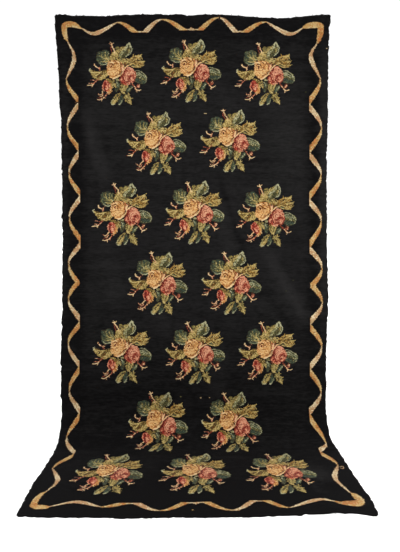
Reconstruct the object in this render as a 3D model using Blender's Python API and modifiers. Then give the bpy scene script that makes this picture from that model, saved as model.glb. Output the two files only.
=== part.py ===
"""A kilim, a flat-woven wool rug, hung by its top end.

It hangs straight down, curves out at its foot and lies on the floor in front of it.
Metres, +Z up. The origin is the middle of the top end, and the woven face looks to -Y.
"""

from math import cos, pi, sin

import bpy
import numpy as np
from mathutils import Vector

# Driving sizes
LENGTH = 3.745  # along the warp, from the top end to the bottom end
HANG = 2.71  # the straight stretch, from the top end to the start of the curve
CURVE_RADIUS = 0.23  # of the quarter turn from the hanging stretch to the floor
THICKNESS = 0.003
COLUMNS = 36  # faces across the sheet
ROWS = 62  # faces along the sheet
CURVE_ROWS = 10  # of these rows, those in the quarter turn
FLOOR_ROWS = 10  # of these rows, those on the floor

CURVE = CURVE_RADIUS * pi / 2  # the cloth in the quarter turn
CURVE_END = HANG + CURVE  # where the cloth first lies flat on the floor
FLOOR_Z = -(HANG + CURVE_RADIUS)  # the middle of the sheet's thickness on the floor

# The selvedges: the distance down the cloth, then how far left and right they lie
SELVEDGES = np.array([
    (0.00, -0.967, 0.972),
    (0.05, -0.963, 0.968),
    (0.13, -0.957, 0.959),
    (0.31, -0.941, 0.953),
    (0.59, -0.930, 0.948),
    (0.73, -0.918, 0.949),
    (1.01, -0.913, 0.942),
    (1.64, -0.908, 0.944),
    (1.85, -0.910, 0.950),
    (2.06, -0.912, 0.952),
    (2.27, -0.917, 0.944),
    (2.41, -0.920, 0.938),
    (2.69, -0.917, 0.938),
    (2.94, -0.902, 0.939),
    (3.07, -0.894, 0.961),
    (3.27, -0.894, 0.965),
    (3.44, -0.901, 0.972),
    (3.60, -0.897, 0.984),
    (LENGTH, -0.890, 0.976),
])

# How far the cloth runs past each nominal end: the place across, then the extra length
TOP_END = np.array([
    (-0.94, 0.006),
    (-0.77, -0.005),
    (-0.48, 0.002),
    (-0.31, 0.006),
    (-0.10, 0.008),
    (0.00, 0.000),
    (0.15, 0.007),
    (0.32, -0.003),
    (0.49, -0.016),
    (0.66, -0.017),
    (0.87, -0.001),
    (0.95, 0.007),
])
BOTTOM_END = np.array([
    (-0.85, -0.004),
    (-0.69, 0.004),
    (-0.49, 0.003),
    (-0.31, 0.012),
    (-0.12, 0.006),
    (0.04, 0.002),
    (0.33, -0.002),
    (0.53, -0.011),
    (0.70, -0.027),
    (0.78, -0.031),
    (0.86, -0.026),
    (0.94, -0.011),
])
END_FADE = 0.35  # over this length of cloth an end's unevenness dies out

# Soft folds of the hanging stretch: where each runs from and to, as a place across and a
# distance down, then its half width, and its height towards the front (a trough is negative)
FOLDS = {
    "left_ridge": ((-0.81, 0.52), (-0.64, 1.40), 0.11, 0.014),
    "left_trough": ((-0.62, 1.30), (-0.50, 2.20), 0.14, -0.009),
    "middle_ridge": ((0.19, 0.45), (0.34, 1.75), 0.12, 0.016),
    "right_trough": ((0.36, 0.95), (0.84, 2.25), 0.11, -0.017),
    "right_ridge": ((0.56, 0.75), (0.93, 2.10), 0.14, 0.012),
    "foot_ridge": ((0.44, 2.20), (0.70, 2.95), 0.13, 0.009),
    "foot_crease": ((-0.92, 2.62), (-0.40, 2.86), 0.12, -0.008),
    "middle_swell": ((-0.15, 1.90), (0.05, 2.90), 0.20, 0.009),
}
FOLD_END_FADE = 0.30  # over this share of its run a fold rises from nothing at each end
FOOT_FADE = 0.25  # the folds die out over this length before the cloth lies flat

WOOL_BLACK = (0.012, 0.012, 0.013, 1.0)
WOOL_ROUGHNESS = 0.9


def smooth_step(share):
    """Rise smoothly from 0 to 1 as the share goes from 0 to 1."""
    share = min(max(share, 0.0), 1.0)
    return share * share * (3.0 - 2.0 * share)


def row_down(row):
    """Give the distance down the cloth of a row of the grid, closer together in the curve."""
    curve_row = ROWS - FLOOR_ROWS - CURVE_ROWS
    floor_row = ROWS - FLOOR_ROWS
    return float(np.interp(row, (0, curve_row, floor_row, ROWS), (0.0, HANG, CURVE_END, LENGTH)))


def across_at(share, down):
    """Give the place across the cloth at a share of its width, from the left selvedge."""
    left = np.interp(down, SELVEDGES[:, 0], SELVEDGES[:, 1])
    right = np.interp(down, SELVEDGES[:, 0], SELVEDGES[:, 2])
    return float(left + share * (right - left))


def with_uneven_ends(across, down):
    """Lengthen or shorten the cloth near its two ends, as they run uneven."""
    top = np.interp(across, TOP_END[:, 0], TOP_END[:, 1])
    bottom = np.interp(across, BOTTOM_END[:, 0], BOTTOM_END[:, 1])
    near_top = smooth_step(1.0 - down / END_FADE)
    near_bottom = smooth_step(1.0 - (LENGTH - down) / END_FADE)
    return float(down - top * near_top + bottom * near_bottom)


def fold_height(across, down):
    """Add up how far the folds lift the cloth towards the front at one place."""
    height = 0.0
    for start, end, half_width, rise in FOLDS.values():
        run = Vector(end) - Vector(start)
        from_start = Vector((across, down)) - Vector(start)
        along = from_start.dot(run) / run.length_squared
        aside = (from_start - run * along).length
        if 0.0 < along < 1.0 and aside < half_width:
            ends = smooth_step(along / FOLD_END_FADE) * smooth_step((1.0 - along) / FOLD_END_FADE)
            height += rise * ends * (0.5 + 0.5 * cos(pi * aside / half_width))
    return height * smooth_step((CURVE_END - down) / FOOT_FADE)


def place(across, down):
    """Put a point of the cloth in space: hung, then turned out, then flat on the floor."""
    if down < HANG:
        middle = Vector((across, 0.0, -down))
        normal = Vector((0.0, -1.0, 0.0))
    elif down < CURVE_END:
        turn = (down - HANG) / CURVE_RADIUS
        forward = CURVE_RADIUS * (1.0 - cos(turn))
        middle = Vector((across, -forward, -HANG - CURVE_RADIUS * sin(turn)))
        normal = Vector((0.0, -cos(turn), sin(turn)))
    else:
        middle = Vector((across, -CURVE_RADIUS - (down - CURVE_END), FLOOR_Z))
        normal = Vector((0.0, 0.0, 1.0))
    return middle + normal * fold_height(across, down)


def wool_material():
    """Make the plain near-black wool of the ground."""
    material = bpy.data.materials.new("black_wool")
    material.use_nodes = True
    shader = material.node_tree.nodes["Principled BSDF"]
    shader.inputs["Base Color"].default_value = WOOL_BLACK
    shader.inputs["Roughness"].default_value = WOOL_ROUGHNESS
    shader.inputs["Metallic"].default_value = 0.0
    material.diffuse_color = WOOL_BLACK
    return material


def woven_sheet(name):
    """Make the one woven sheet: a flat grid laid on its draped form, then given its thickness."""
    bpy.ops.mesh.primitive_grid_add(x_subdivisions=COLUMNS, y_subdivisions=ROWS, size=2.0)
    sheet = bpy.context.object
    sheet.name = name
    sheet.data.name = name
    for vertex in sheet.data.vertices:
        row = (1.0 - vertex.co.y) / 2.0 * ROWS
        share = (1.0 + vertex.co.x) / 2.0
        down = row_down(row)
        across = across_at(share, down)
        vertex.co = place(across, with_uneven_ends(across, down))
    sheet.data.shade_smooth()
    solidify = sheet.modifiers.new("thickness", "SOLIDIFY")
    solidify.thickness = THICKNESS
    solidify.offset = 0.0
    sheet.data.materials.append(wool_material())
    return sheet


def build():
    """Build the kilim in a collection of its own."""
    for item in list(bpy.data.objects):
        bpy.data.objects.remove(item, do_unlink=True)
    collection = bpy.data.collections.new("kilim")
    bpy.context.scene.collection.children.link(collection)
    sheet = woven_sheet("kilim")
    for home in list(sheet.users_collection):
        home.objects.unlink(sheet)
    collection.objects.link(sheet)


build()
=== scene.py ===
"""The looks of a black flat-woven kilim with a ribbon border and eighteen bouquets of roses.

The cloth is a thin sheet on the folds of its CAD solid, with finer creases and ragged edges. The pattern is
a chart of stitches, painted with the leaf, petal, arc and stroke functions, and woven in row by row as thin
coloured runs on both faces of the cloth. Metres, +Z up, origin in the middle of the top end.
"""

from math import cos, pi, radians, sin

import bpy
import numpy as np
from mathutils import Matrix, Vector


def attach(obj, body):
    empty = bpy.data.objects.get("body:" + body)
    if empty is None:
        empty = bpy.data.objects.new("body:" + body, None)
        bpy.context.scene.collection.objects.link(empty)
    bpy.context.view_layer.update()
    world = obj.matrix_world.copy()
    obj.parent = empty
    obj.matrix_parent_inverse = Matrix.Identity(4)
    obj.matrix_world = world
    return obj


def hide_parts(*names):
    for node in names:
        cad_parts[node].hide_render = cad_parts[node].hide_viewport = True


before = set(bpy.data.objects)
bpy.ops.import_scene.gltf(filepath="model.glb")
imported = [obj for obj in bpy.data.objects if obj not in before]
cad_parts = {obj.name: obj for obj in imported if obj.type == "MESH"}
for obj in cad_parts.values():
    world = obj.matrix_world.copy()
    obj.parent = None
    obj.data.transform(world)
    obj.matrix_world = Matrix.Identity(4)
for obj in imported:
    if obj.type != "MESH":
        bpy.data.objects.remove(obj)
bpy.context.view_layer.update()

# The cloth's other sizes, as in the CAD source
LENGTH = 3.745  # along the warp
HANG = 2.71  # the straight stretch
CURVE_RADIUS = 0.23  # of the quarter turn to the floor
THICKNESS = 0.003
CURVE = CURVE_RADIUS * pi / 2
CURVE_END = HANG + CURVE
FLOOR_Z = -(HANG + CURVE_RADIUS)
FOLD_END_FADE = 0.30  # share of a fold's length over which each end runs out
FOOT_FADE = 0.25  # folds run out over this stretch above the floor
END_FADE = 0.35  # an uneven end is evened out over this stretch

# The selvedges: the distance down the cloth, then how far left and right they lie
SELVEDGES = np.array([
    (0.00, -0.967, 0.972),
    (0.05, -0.963, 0.968),
    (0.13, -0.957, 0.959),
    (0.31, -0.941, 0.953),
    (0.59, -0.930, 0.948),
    (0.73, -0.918, 0.949),
    (1.01, -0.913, 0.942),
    (1.64, -0.908, 0.944),
    (1.85, -0.910, 0.950),
    (2.06, -0.912, 0.952),
    (2.27, -0.917, 0.944),
    (2.41, -0.920, 0.938),
    (2.69, -0.917, 0.938),
    (2.94, -0.902, 0.939),
    (3.07, -0.894, 0.961),
    (3.27, -0.894, 0.965),
    (3.44, -0.901, 0.972),
    (3.60, -0.897, 0.984),
    (LENGTH, -0.890, 0.976),
])

# How far the cloth runs past each nominal end: the place across, then the extra length
TOP_END = np.array([
    (-0.94, 0.006),
    (-0.77, -0.005),
    (-0.48, 0.002),
    (-0.31, 0.006),
    (-0.10, 0.008),
    (0.00, 0.000),
    (0.15, 0.007),
    (0.32, -0.003),
    (0.49, -0.016),
    (0.66, -0.017),
    (0.87, -0.001),
    (0.95, 0.007),
])
BOTTOM_END = np.array([
    (-0.85, -0.004),
    (-0.69, 0.004),
    (-0.49, 0.003),
    (-0.31, 0.012),
    (-0.12, 0.006),
    (0.04, 0.002),
    (0.33, -0.002),
    (0.53, -0.011),
    (0.70, -0.027),
    (0.78, -0.031),
    (0.86, -0.026),
    (0.94, -0.011),
])

# Main folds, as in the CAD source: where each starts and ends (across, down), its half width, its rise
FOLDS = {
    "left_ridge": ((-0.81, 0.52), (-0.64, 1.40), 0.11, 0.014),
    "left_trough": ((-0.62, 1.30), (-0.50, 2.20), 0.14, -0.009),
    "middle_ridge": ((0.19, 0.45), (0.34, 1.75), 0.12, 0.016),
    "right_trough": ((0.36, 0.95), (0.84, 2.25), 0.11, -0.017),
    "right_ridge": ((0.56, 0.75), (0.93, 2.10), 0.14, 0.012),
    "foot_ridge": ((0.44, 2.20), (0.70, 2.95), 0.13, 0.009),
    "foot_crease": ((-0.92, 2.62), (-0.40, 2.86), 0.12, -0.008),
    "middle_swell": ((-0.15, 1.90), (0.05, 2.90), 0.20, 0.009),
}

# Finer creases, which the solid leaves out, in the same terms
CREASES = {
    "middle_ridge_flank": ((0.245, 0.90), (0.36, 1.72), 0.035, -0.0045),
    "right_trough_flank": ((0.37, 0.98), (0.56, 1.62), 0.032, -0.004),
    "right_trough_low_flank": ((0.56, 1.55), (0.80, 2.15), 0.035, -0.003),
    "left_ridge_flank": ((-0.75, 0.60), (-0.62, 1.25), 0.04, -0.003),
    "left_long_crease": ((-0.55, 0.95), (-0.60, 1.95), 0.04, 0.003),
    "left_foot_upper": ((-0.84, 2.685), (-0.42, 2.67), 0.022, -0.004),
    "left_foot_middle": ((-0.80, 2.755), (-0.36, 2.745), 0.022, 0.004),
    "left_foot_lower": ((-0.76, 2.875), (-0.34, 2.845), 0.024, -0.004),
    "right_foot_upper": ((0.60, 2.775), (0.88, 2.745), 0.022, -0.004),
    "right_foot_lower": ((0.58, 2.865), (0.86, 2.885), 0.024, -0.004),
    "foot_diagonal": ((0.40, 2.50), (0.62, 2.86), 0.03, 0.003),
    "selvedge_pucker_low": ((0.80, 3.02), (0.97, 3.06), 0.03, 0.005),
    "selvedge_pucker_left": ((-0.91, 2.98), (-0.76, 3.03), 0.03, 0.004),
    "floor_wave_right": ((0.55, 3.36), (0.92, 3.47), 0.05, 0.004),
    "floor_wave_left": ((-0.86, 3.42), (-0.52, 3.52), 0.05, 0.003),
    "corner_curl": ((0.68, 3.72), (0.98, 3.60), 0.06, 0.006),
}

# The weave. A stitch is one weft row high and two warps wide
STITCH = 0.0025
CHART_LEFT = -1.0  # where the chart starts across the cloth
CHART_COLUMNS = 800
CHART_ROWS = round(LENGTH / STITCH)
LONGEST_RUN = 8  # stitches in one coloured run before it's parted
PROUD = 0.0004  # how far a coloured run stands above the black ground
COLUMNS = 150  # faces of the cloth across
ROWS = 320  # faces of the cloth down
TINY = 1e-9  # keeps a width from being nought where it divides
TOP_TONE = 0.999  # a tone of 1 or more takes the lightest wool of its ramp
MILLIMETRES = 1000  # in a metre, as a bouquet is drawn in millimetres


def clamp(share):
    return np.clip(share, 0, 1)


def smooth_step(share):
    """Goes softly from 0 to 1 as share does."""
    share = clamp(share)
    return share * share * (3 - 2 * share)


def fold_height(across, down, folds):
    """How far the folds lift the cloth out of its plane."""
    height = np.zeros(np.broadcast(across, down).shape)
    for start, end, half_width, rise in folds.values():
        run = np.subtract(end, start)
        length = np.hypot(*run)
        reach = across - start[0], down - start[1]
        along = (reach[0] * run[0] + reach[1] * run[1]) / length**2
        aside = np.abs(reach[0] * run[1] - reach[1] * run[0]) / length
        weighting = smooth_step(along / FOLD_END_FADE) * smooth_step((1 - along) / FOLD_END_FADE)
        height += rise * weighting * (0.5 + 0.5 * np.cos(pi * clamp(aside / half_width)))
    return height


def place(across, down, lift):
    """The point of the cloth at a distance across and down, lifted off its middle along the outer side."""
    turn = np.clip((down - HANG) / CURVE_RADIUS, 0, pi / 2)
    floor_run = np.maximum(down - CURVE_END, 0)
    main = fold_height(across, down, FOLDS) * smooth_step((CURVE_END - down) / FOOT_FADE)
    lift = lift + main + fold_height(across, down, CREASES)
    y = -CURVE_RADIUS * (1 - np.cos(turn)) - floor_run - np.cos(turn) * lift
    z = -np.minimum(down, HANG) - CURVE_RADIUS * np.sin(turn) + np.sin(turn) * lift
    return np.stack([across + 0 * y, y, z], axis=-1)


def side_at(down, column):
    """How far across the left (1) or right (2) selvedge lies."""
    return np.interp(down, SELVEDGES[:, 0], SELVEDGES[:, column])


def end_shift(across, down):
    """How far the uneven ends move the cloth along its length there."""
    top = np.interp(across, TOP_END[:, 0], TOP_END[:, 1])
    bottom = np.interp(across, BOTTOM_END[:, 0], BOTTOM_END[:, 1])
    near_top = smooth_step(1 - down / END_FADE)
    near_bottom = smooth_step(1 - (LENGTH - down) / END_FADE)
    return bottom * near_bottom - top * near_top


def soft_noise(count, spacing, rng):
    """A wavy line of values from -1 to 1, with a new turning point every few steps."""
    knots = rng.uniform(-1, 1, int(count / spacing) + 3)
    return np.interp(np.arange(count) / spacing, np.arange(len(knots)), knots)


# How the cloth's edges stray from their lines
CLOTH_SEED = 7
EDGE_WANDER = 0.0036
WANDER_SPACING = 2.3  # grid points from one swing to the next
EDGE_NICK = 0.006
NICK_SHARE = 0.25  # of an edge's grid points
NICK_SPAN = (-1, 0.7)  # of EDGE_NICK, to one side of the line and to the other
CORNER_CUT = 0.007  # how far each corner of the cloth is drawn in


def ragged(count, rng):
    """How far each grid point of an edge lies off its line: a slow wander, with nicks."""
    wander = EDGE_WANDER * soft_noise(count, WANDER_SPACING, rng)
    nick = EDGE_NICK * (rng.random(count) < NICK_SHARE) * rng.uniform(*NICK_SPAN, count)
    return wander + nick


def cloth_grid():
    """The places across and down of the cloth's grid points, with its edges ragged."""
    rng = np.random.default_rng(CLOTH_SEED)
    share, down = np.meshgrid(np.linspace(0, 1, COLUMNS + 1), np.linspace(0, LENGTH, ROWS + 1))
    left, right = side_at(down, 1), side_at(down, 2)
    across = left + (right - left) * share
    down = down + end_shift(across, down)
    across[:, 0] += ragged(ROWS + 1, rng)
    across[:, -1] += ragged(ROWS + 1, rng)
    down[0] += ragged(COLUMNS + 1, rng)
    down[-1] += ragged(COLUMNS + 1, rng)
    for row, way in ((0, 1), (-1, -1)):
        for column in (0, -1):
            across[row, column] -= CORNER_CUT * np.sign(across[row, column])
            down[row, column] += CORNER_CUT * way
    return across, down


ACROSS, DOWN = cloth_grid()
FACES = {"front": place(ACROSS, DOWN, THICKNESS / 2), "back": place(ACROSS, DOWN, -THICKNESS / 2)}


def on_cloth(across, down, face):
    """Points on one face of the cloth's mesh, a little proud of it."""
    # The grid's own place down, before the uneven ends moved it, found by trying three times
    nominal = down
    for _ in range(3):
        nominal = down - end_shift(across, nominal)
    left, right = side_at(nominal, 1), side_at(nominal, 2)
    column = clamp((across - left) / (right - left)) * COLUMNS
    row = clamp(nominal / LENGTH) * ROWS
    i = np.minimum(row.astype(int), ROWS - 1)
    j = np.minimum(column.astype(int), COLUMNS - 1)
    s = (row - i)[:, None]
    t = (column - j)[:, None]
    grid = FACES[face]
    upper = grid[i, j] * (1 - t) + grid[i, j + 1] * t
    lower = grid[i + 1, j] * (1 - t) + grid[i + 1, j + 1] * t
    turn = np.clip((down - HANG) / CURVE_RADIUS, 0, pi / 2)
    outward = np.stack([0 * turn, -np.cos(turn), np.sin(turn)], axis=-1)
    return upper * (1 - s) + lower * s + outward * (PROUD if face == "front" else -PROUD)


# The wools, as sRGB
WOOLS = {
    "outline": (30, 14, 6),
    "shadow": (58, 40, 14),
    "teal_deep": (38, 50, 38),
    "teal": (58, 74, 56),
    "teal_grey": (88, 100, 76),
    "moss": (62, 62, 30),
    "sage_dark": (94, 90, 50),
    "sage": (122, 116, 68),
    "sage_pale": (154, 146, 90),
    "sage_grey": (142, 142, 108),
    "silver": (190, 186, 148),
    "olive_dark": (82, 60, 20),
    "olive": (118, 90, 34),
    "khaki": (146, 120, 58),
    "khaki_pale": (176, 150, 84),
    "straw": (208, 184, 118),
    "ochre_leaf": (160, 116, 46),
    "brown": (104, 54, 12),
    "tan": (148, 86, 34),
    "rust": (122, 50, 24),
    "apricot_deep": (182, 112, 52),
    "apricot": (210, 146, 78),
    "yellow": (228, 174, 104),
    "peach": (240, 196, 134),
    "cream": (242, 212, 162),
    "crimson": (98, 18, 12),
    "red": (140, 32, 20),
    "coral": (198, 80, 54),
    "rose_deep": (158, 72, 48),
    "rose": (192, 106, 78),
    "pink": (216, 138, 106),
    "pink_pale": (234, 172, 134),
    "ribbon_edge": (86, 54, 24),
    "orange": (196, 124, 68),
    "ochre_deep": (162, 112, 52),
    "ochre": (192, 150, 84),
    "honey": (206, 168, 106),
    "sand": (216, 192, 142),
    "blush": (196, 144, 102),
    "tan_pale": (176, 144, 94),
    "flax": (204, 176, 130),
    "flax_pale": (236, 216, 176),
}

# Each shape is shaded with one of these, dark to light
RAMPS = {
    "outline": ("outline",),
    "hole": ("outline", "shadow"),
    "shadow": ("shadow",),
    "ground": ("ground",),
    "teal": ("teal_deep", "teal", "teal_grey", "sage_dark", "sage"),
    "sage": ("moss", "sage_dark", "sage", "sage_pale", "silver"),
    "khaki_sage": ("moss", "sage_dark", "khaki", "sage_pale", "khaki_pale"),
    "moss": ("teal_deep", "moss", "sage_dark"),
    "rim": ("teal_grey", "sage_grey", "silver"),
    "olive": ("olive_dark", "olive", "khaki", "khaki_pale", "straw"),
    "gold": ("olive_dark", "olive", "ochre_leaf", "ochre_leaf", "khaki_pale", "straw"),
    "khaki": ("olive", "khaki", "khaki_pale", "straw"),
    "straw": ("khaki_pale", "straw"),
    "straw_sage": ("sage_dark", "sage", "khaki_pale", "straw"),
    "yellow": ("brown", "tan", "apricot_deep", "apricot", "yellow", "peach"),
    "brown": ("brown", "tan", "apricot_deep"),
    "peach": ("apricot", "peach", "cream"),
    "cream": ("pink_pale", "peach", "cream"),
    "rose": ("crimson", "rose_deep", "rose", "pink", "pink_pale"),
    "crimson": ("crimson", "red", "rose_deep"),
    "coral": ("red", "coral", "pink", "pink_pale"),
    "tan": ("rust", "tan", "apricot_deep", "apricot"),
    "rust": ("outline", "rust", "rose_deep"),
    "tendril": ("rust", "rose_deep", "pink_pale", "peach", "cream"),
    "ochre": ("ochre_deep", "orange", "ochre", "honey", "sand"),
    "pale": ("tan_pale", "blush", "flax", "flax_pale"),
    "ribbon_edge": ("ribbon_edge",),
}
WOOL_NUMBER = {name: n for n, name in enumerate(WOOLS)}
GROUND = -1
WOOL_NUMBER["ground"] = GROUND
RAMP_NUMBERS = {name: np.array([WOOL_NUMBER[w] for w in wools]) for name, wools in RAMPS.items()}


# Shapes to paint. Each is a kind, its sizes, its ramp, its shade and its ripple. The shade is the level, then
# how much is added along the shape, to one side of it and at its rim. What is left out is 0. The ripple is
# the number of waves along it and towards its rim, as for veins or furled petals, and their strength.
NO_RIPPLE = (0, 0, 0)


def shape(kind, sizes, ramp, shade, ripple=NO_RIPPLE):
    return kind, sizes, ramp, (*shade, 0, 0, 0, 0)[:4], ripple


def leaf(
    base, tip, half, ramp, *shade, bend=0.0, lean=1.0, blunt=0.6, lobes=0, cut=0.0, side=0, ripple=NO_RIPPLE
):
    """A leaf from base to tip, with half its width. Bend is how far its middle lies aside. A lean over 1 puts
    its widest place nearer the tip. The smaller blunt is, the blunter its ends are. Cut is how deep its lobes
    are cut. Side is 1 or -1 for one half of the leaf alone.
    """
    sizes = dict(base=base, tip=tip, half=half, bend=bend, lean=lean, blunt=blunt)
    sizes.update(lobes=lobes, cut=cut, side=side)
    return shape("leaf", sizes, ramp, shade, ripple)


def petal(centre, radii, turn, ramp, *shade, ripple=NO_RIPPLE):
    """An ellipse, turned by some degrees."""
    return shape("petal", dict(centre=centre, radii=radii, turn=turn), ramp, shade, ripple)


def arc(centre, radii, turn, start, end, width, ramp, *shade):
    """A part of an ellipse's line, from one angle to another, pointed at both ends."""
    sizes = dict(centre=centre, radii=radii, turn=turn, start=start, end=end, width=width)
    return shape("arc", sizes, ramp, shade)


def band(points, widths, ramp, *shade, ripple=NO_RIPPLE):
    """A stroke with its widths at equal steps along it."""
    return shape("stroke", dict(points=points, widths=widths), ramp, shade, ripple)


def stroke(points, first_width, last_width, ramp, *shade):
    return band(points, (first_width, last_width), ramp, *shade)


# The bouquet, in millimetres from its middle, part by part in the order of painting. The tendrils come first
# as an outline and later in colour: their points, their first and last width, and their shade
TENDRILS = (
    ([(-50, 206), (-44, 192), (-34, 175), (-25, 159), (-22, 144)], 7.5, 7, 0.85, -0.1, 0, -0.4),
    ([(-50, 206), (-65, 209)], 8.5, 3.5, 0.9, 0, 0, -0.3),
    ([(-50, 206), (-55, 220)], 8.5, 4, 0.9, 0, 0, -0.3),
    ([(-48, 204), (-37, 216)], 8.5, 3.5, 0.9, 0, 0, -0.3),
    ([(-164, 66), (-160, 54), (-147, 45), (-134, 40), (-128, 28)], 7.5, 7, 0.95, -0.45, 0, -0.4),
    ([(-117, 59), (-127, 44), (-131, 26)], 6, 7, 0.6, -0.1, 0, -0.3),
    ([(-128, -34), (-148, -52), (-164, -68), (-172, -84)], 7, 5, 0.2, 0.4, 0, -0.3),
    ([(-158, -50), (-172, -45), (-188, -44)], 5, 3.5, 0.25, 0.2, 0, -0.2),
    ([(-168, -70), (-182, -68), (-198, -68)], 5, 3.5, 0.2, 0.2, 0, -0.2),
    ([(-168, -76), (-186, -81), (-208, -83)], 7.5, 5, 0.99, 0, 0, -0.3),
    ([(-170, -78), (-176, -91)], 5, 3.5, 0.9, 0, 0, -0.3),
    ([(-90, -118), (-102, -130), (-110, -144), (-128, -146), (-134, -138)], 7, 4, 0.9, -0.3, 0, -0.4),
    ([(-98, -140), (-108, -156), (-122, -156)], 6, 4, 0.45, 0.3, 0, -0.3),
    ([(-66, -130), (-76, -150), (-92, -164), (-106, -175), (-122, -181), (-138, -180)],
     7.5, 5, 0.25, 0.7, 0, -0.3),
    ([(-108, -174), (-106, -190)], 6, 3.5, 0.99, 0, 0, -0.3),
    ([(-92, -164), (-85, -176)], 4, 3.5, 0.5),
    ([(-132, -167), (-120, -169), (-108, -165)], 5, 3.5, 0, 0.2),
    ([(104, -70), (120, -86), (131, -100), (141, -114)], 7.5, 7, 0.15, 0.65, 0, -0.3),
    ([(140, -112), (154, -115), (172, -107)], 7.5, 4, 0.99, 0, 0, -0.3),
    ([(141, -112), (139, -129)], 7, 3.5, 0.95, 0, 0, -0.3),
)
OUTLINE_WIDTH = 4
# The tendrils' outline, with that of the small bud at the right
TENDRIL_OUTLINES = [
    *(stroke(points, first + 2 * OUTLINE_WIDTH, last + 2 * OUTLINE_WIDTH, "outline")
      for points, first, last, *_ in TENDRILS),
    petal((150, -82), (16, 20), -25, "outline"),
    petal((-44, 172), (10, 32), 10, "outline"),
]
# Round leaf at the upper left: dark lobes, then a fan of light veins
ROUND_LEAF = [
    petal((-124, 137), (21, 22), 30, "teal", 0.3, 0, 0.1, -0.2, ripple=(3, 0, 0.1)),
    petal((-98, 150), (25, 16), 10, "teal", 0.25, 0, 0.1, -0.2, ripple=(4, 0, 0.1)),
    petal((-70, 138), (15, 18), 20, "teal", 0.3, 0, 0.1, -0.2, ripple=(3, 0, 0.1)),
    petal((-132, 108), (18, 26), 0, "teal", 0.22, 0.1, 0, -0.2, ripple=(0, 2, 0.1)),
    petal((-104, 100), (43, 41), 20, "teal", 0.24, 0.3, ripple=(4, 1, 0.2)),
    petal((-116, 78), (18, 14), 30, "teal", 0.35, 0, 0, -0.2),
    petal((-84, 102), (32, 30), 35, "sage", 0.4, 0.12, 0, -0.2, ripple=(0, 3, 0.18)),
    stroke([(-62, 90), (-96, 96), (-126, 104), (-146, 116)], 8, 4, "sage", 0.75, -0.7, 0, -0.1),
    stroke([(-64, 86), (-98, 88), (-128, 88), (-148, 92)], 7, 4, "sage", 0.65, -0.45, 0, -0.1),
    stroke([(-84, 92), (-112, 94), (-138, 100)], 3, 3, "teal", 0.05),
    stroke([(-84, 112), (-108, 126), (-124, 138)], 4, 3, "teal", 0.05),
    stroke([(-56, 84), (-84, 100), (-107, 120), (-112, 148)], 13, 6, "straw_sage", 0.85, -0.45, 0, -0.3),
    stroke([(-62, 92), (-82, 112), (-87, 150)], 13, 6, "straw_sage", 0.8, -0.45, 0, -0.3),
    stroke([(-58, 96), (-68, 118), (-66, 146)], 7, 4, "sage", 0.7, -0.2, 0, -0.2),
    stroke([(-98, 106), (-122, 128), (-126, 146)], 7, 4, "sage", 0.65, -0.45, 0, -0.1),
    stroke([(-60, 84), (-84, 82), (-112, 84)], 10, 6, "straw_sage", 0.7, -0.3, 0, -0.2),
    stroke([(-74, 92), (-92, 98)], 4, 3, "moss", 0.4),
    stroke([(-66, 106), (-76, 122), (-78, 138)], 4, 3, "teal", 0.1),
    stroke([(-92, 116), (-98, 134), (-98, 152)], 5, 4, "teal", 0.05),
    stroke([(-62, 78), (-88, 64), (-112, 64), (-128, 76)], 9, 6, "rim", 0.75, -0.2, 0, -0.4),
    stroke([(-76, 73), (-98, 73)], 4, 3, "moss", 0.3),
]
# Upper leaf, with toothed light halves, a dark hollow and a pale curled margin
UPPER_LEAF = [
    leaf((-34, 98), (62, 200), 36, "khaki_sage", 0.38, 0.22, 0.16, -0.1, lean=0.9, lobes=6, cut=0.2,
         ripple=(6, 1.5, 0.16)),
    leaf((6, 104), (78, 220), 34, "sage", 0.55, 0.32, -0.1, 0.2, bend=-12, lobes=4, cut=0.15,
         ripple=(4, 1, 0.12)),
    leaf((28, 112), (70, 176), 17, "moss", 0.4, 0.3, 0, 0.3, bend=-6, lobes=3, cut=0.3, ripple=(5, 1, 0.2)),
    petal((78, 166), (11, 20), -10, "khaki_sage", 0.62, 0, 0, -0.4, ripple=(0, 2, 0.28)),
    stroke([(8, 122), (30, 146), (54, 166)], 4, 4, "rim", 0.5, 0, 0, -0.2),
    petal((-8, 180), (17, 13), 20, "khaki_sage", 0.22, 0.3, 0, -0.1, ripple=(3, 0, 0.15)),
    petal((26, 184), (20, 11), 20, "khaki_sage", 0.4, 0.3, 0, -0.1, ripple=(3, 0, 0.15)),
    stroke([(-22, 122), (2, 146), (26, 170), (52, 192)], 7, 5, "khaki", 0.75, 0.1, 0, -0.3),
    stroke([(2, 148), (-4, 168)], 5, 3, "khaki", 0.6),
    stroke([(20, 164), (18, 184)], 5, 3, "khaki", 0.7),
    stroke([(74, 219), (85, 198), (95, 178), (94, 158), (84, 140), (68, 126)], 6, 5, "rim", 0.99, -0.4, 0,
           -0.2),
    stroke([(84, 172), (82, 156), (72, 140)], 7, 6, "sage", 0.7, -0.2),
    stroke([(74, 216), (62, 200), (56, 184)], 6, 4, "rim", 0.8, -0.2, 0, -0.3),
    petal((71, 190), (6, 15), 5, "moss", 0.5, 0, 0, 0.2),
    petal((-18, 130), (29, 29), 30, "khaki", 0.62, 0.1, 0.12, -0.25, ripple=(3, 0, 0.1)),
    stroke([(-34, 112), (-20, 132), (-8, 152)], 4, 3, "khaki", 0.95),
]
# Khaki leaves behind the roses
KHAKI_LEAVES = [
    petal((24, 96), (64, 21), -6, "khaki_sage", 0.8, 0.1, 0.15, -0.1, ripple=(6, 0, 0.24)),
    petal((-36, 108), (22, 22), 30, "khaki", 0.6, 0, 0.1, -0.2, ripple=(3, 0, 0.15)),
    petal((62, 88), (32, 22), 0, "khaki", 0.62, 0.1, 0.1, -0.1, ripple=(4, 0, 0.24)),
    petal((30, 108), (14, 8), 20, "sage", 0.5),
    petal((48, 104), (16, 8), -10, "khaki", 0.75, 0, 0, -0.2),
]
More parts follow.
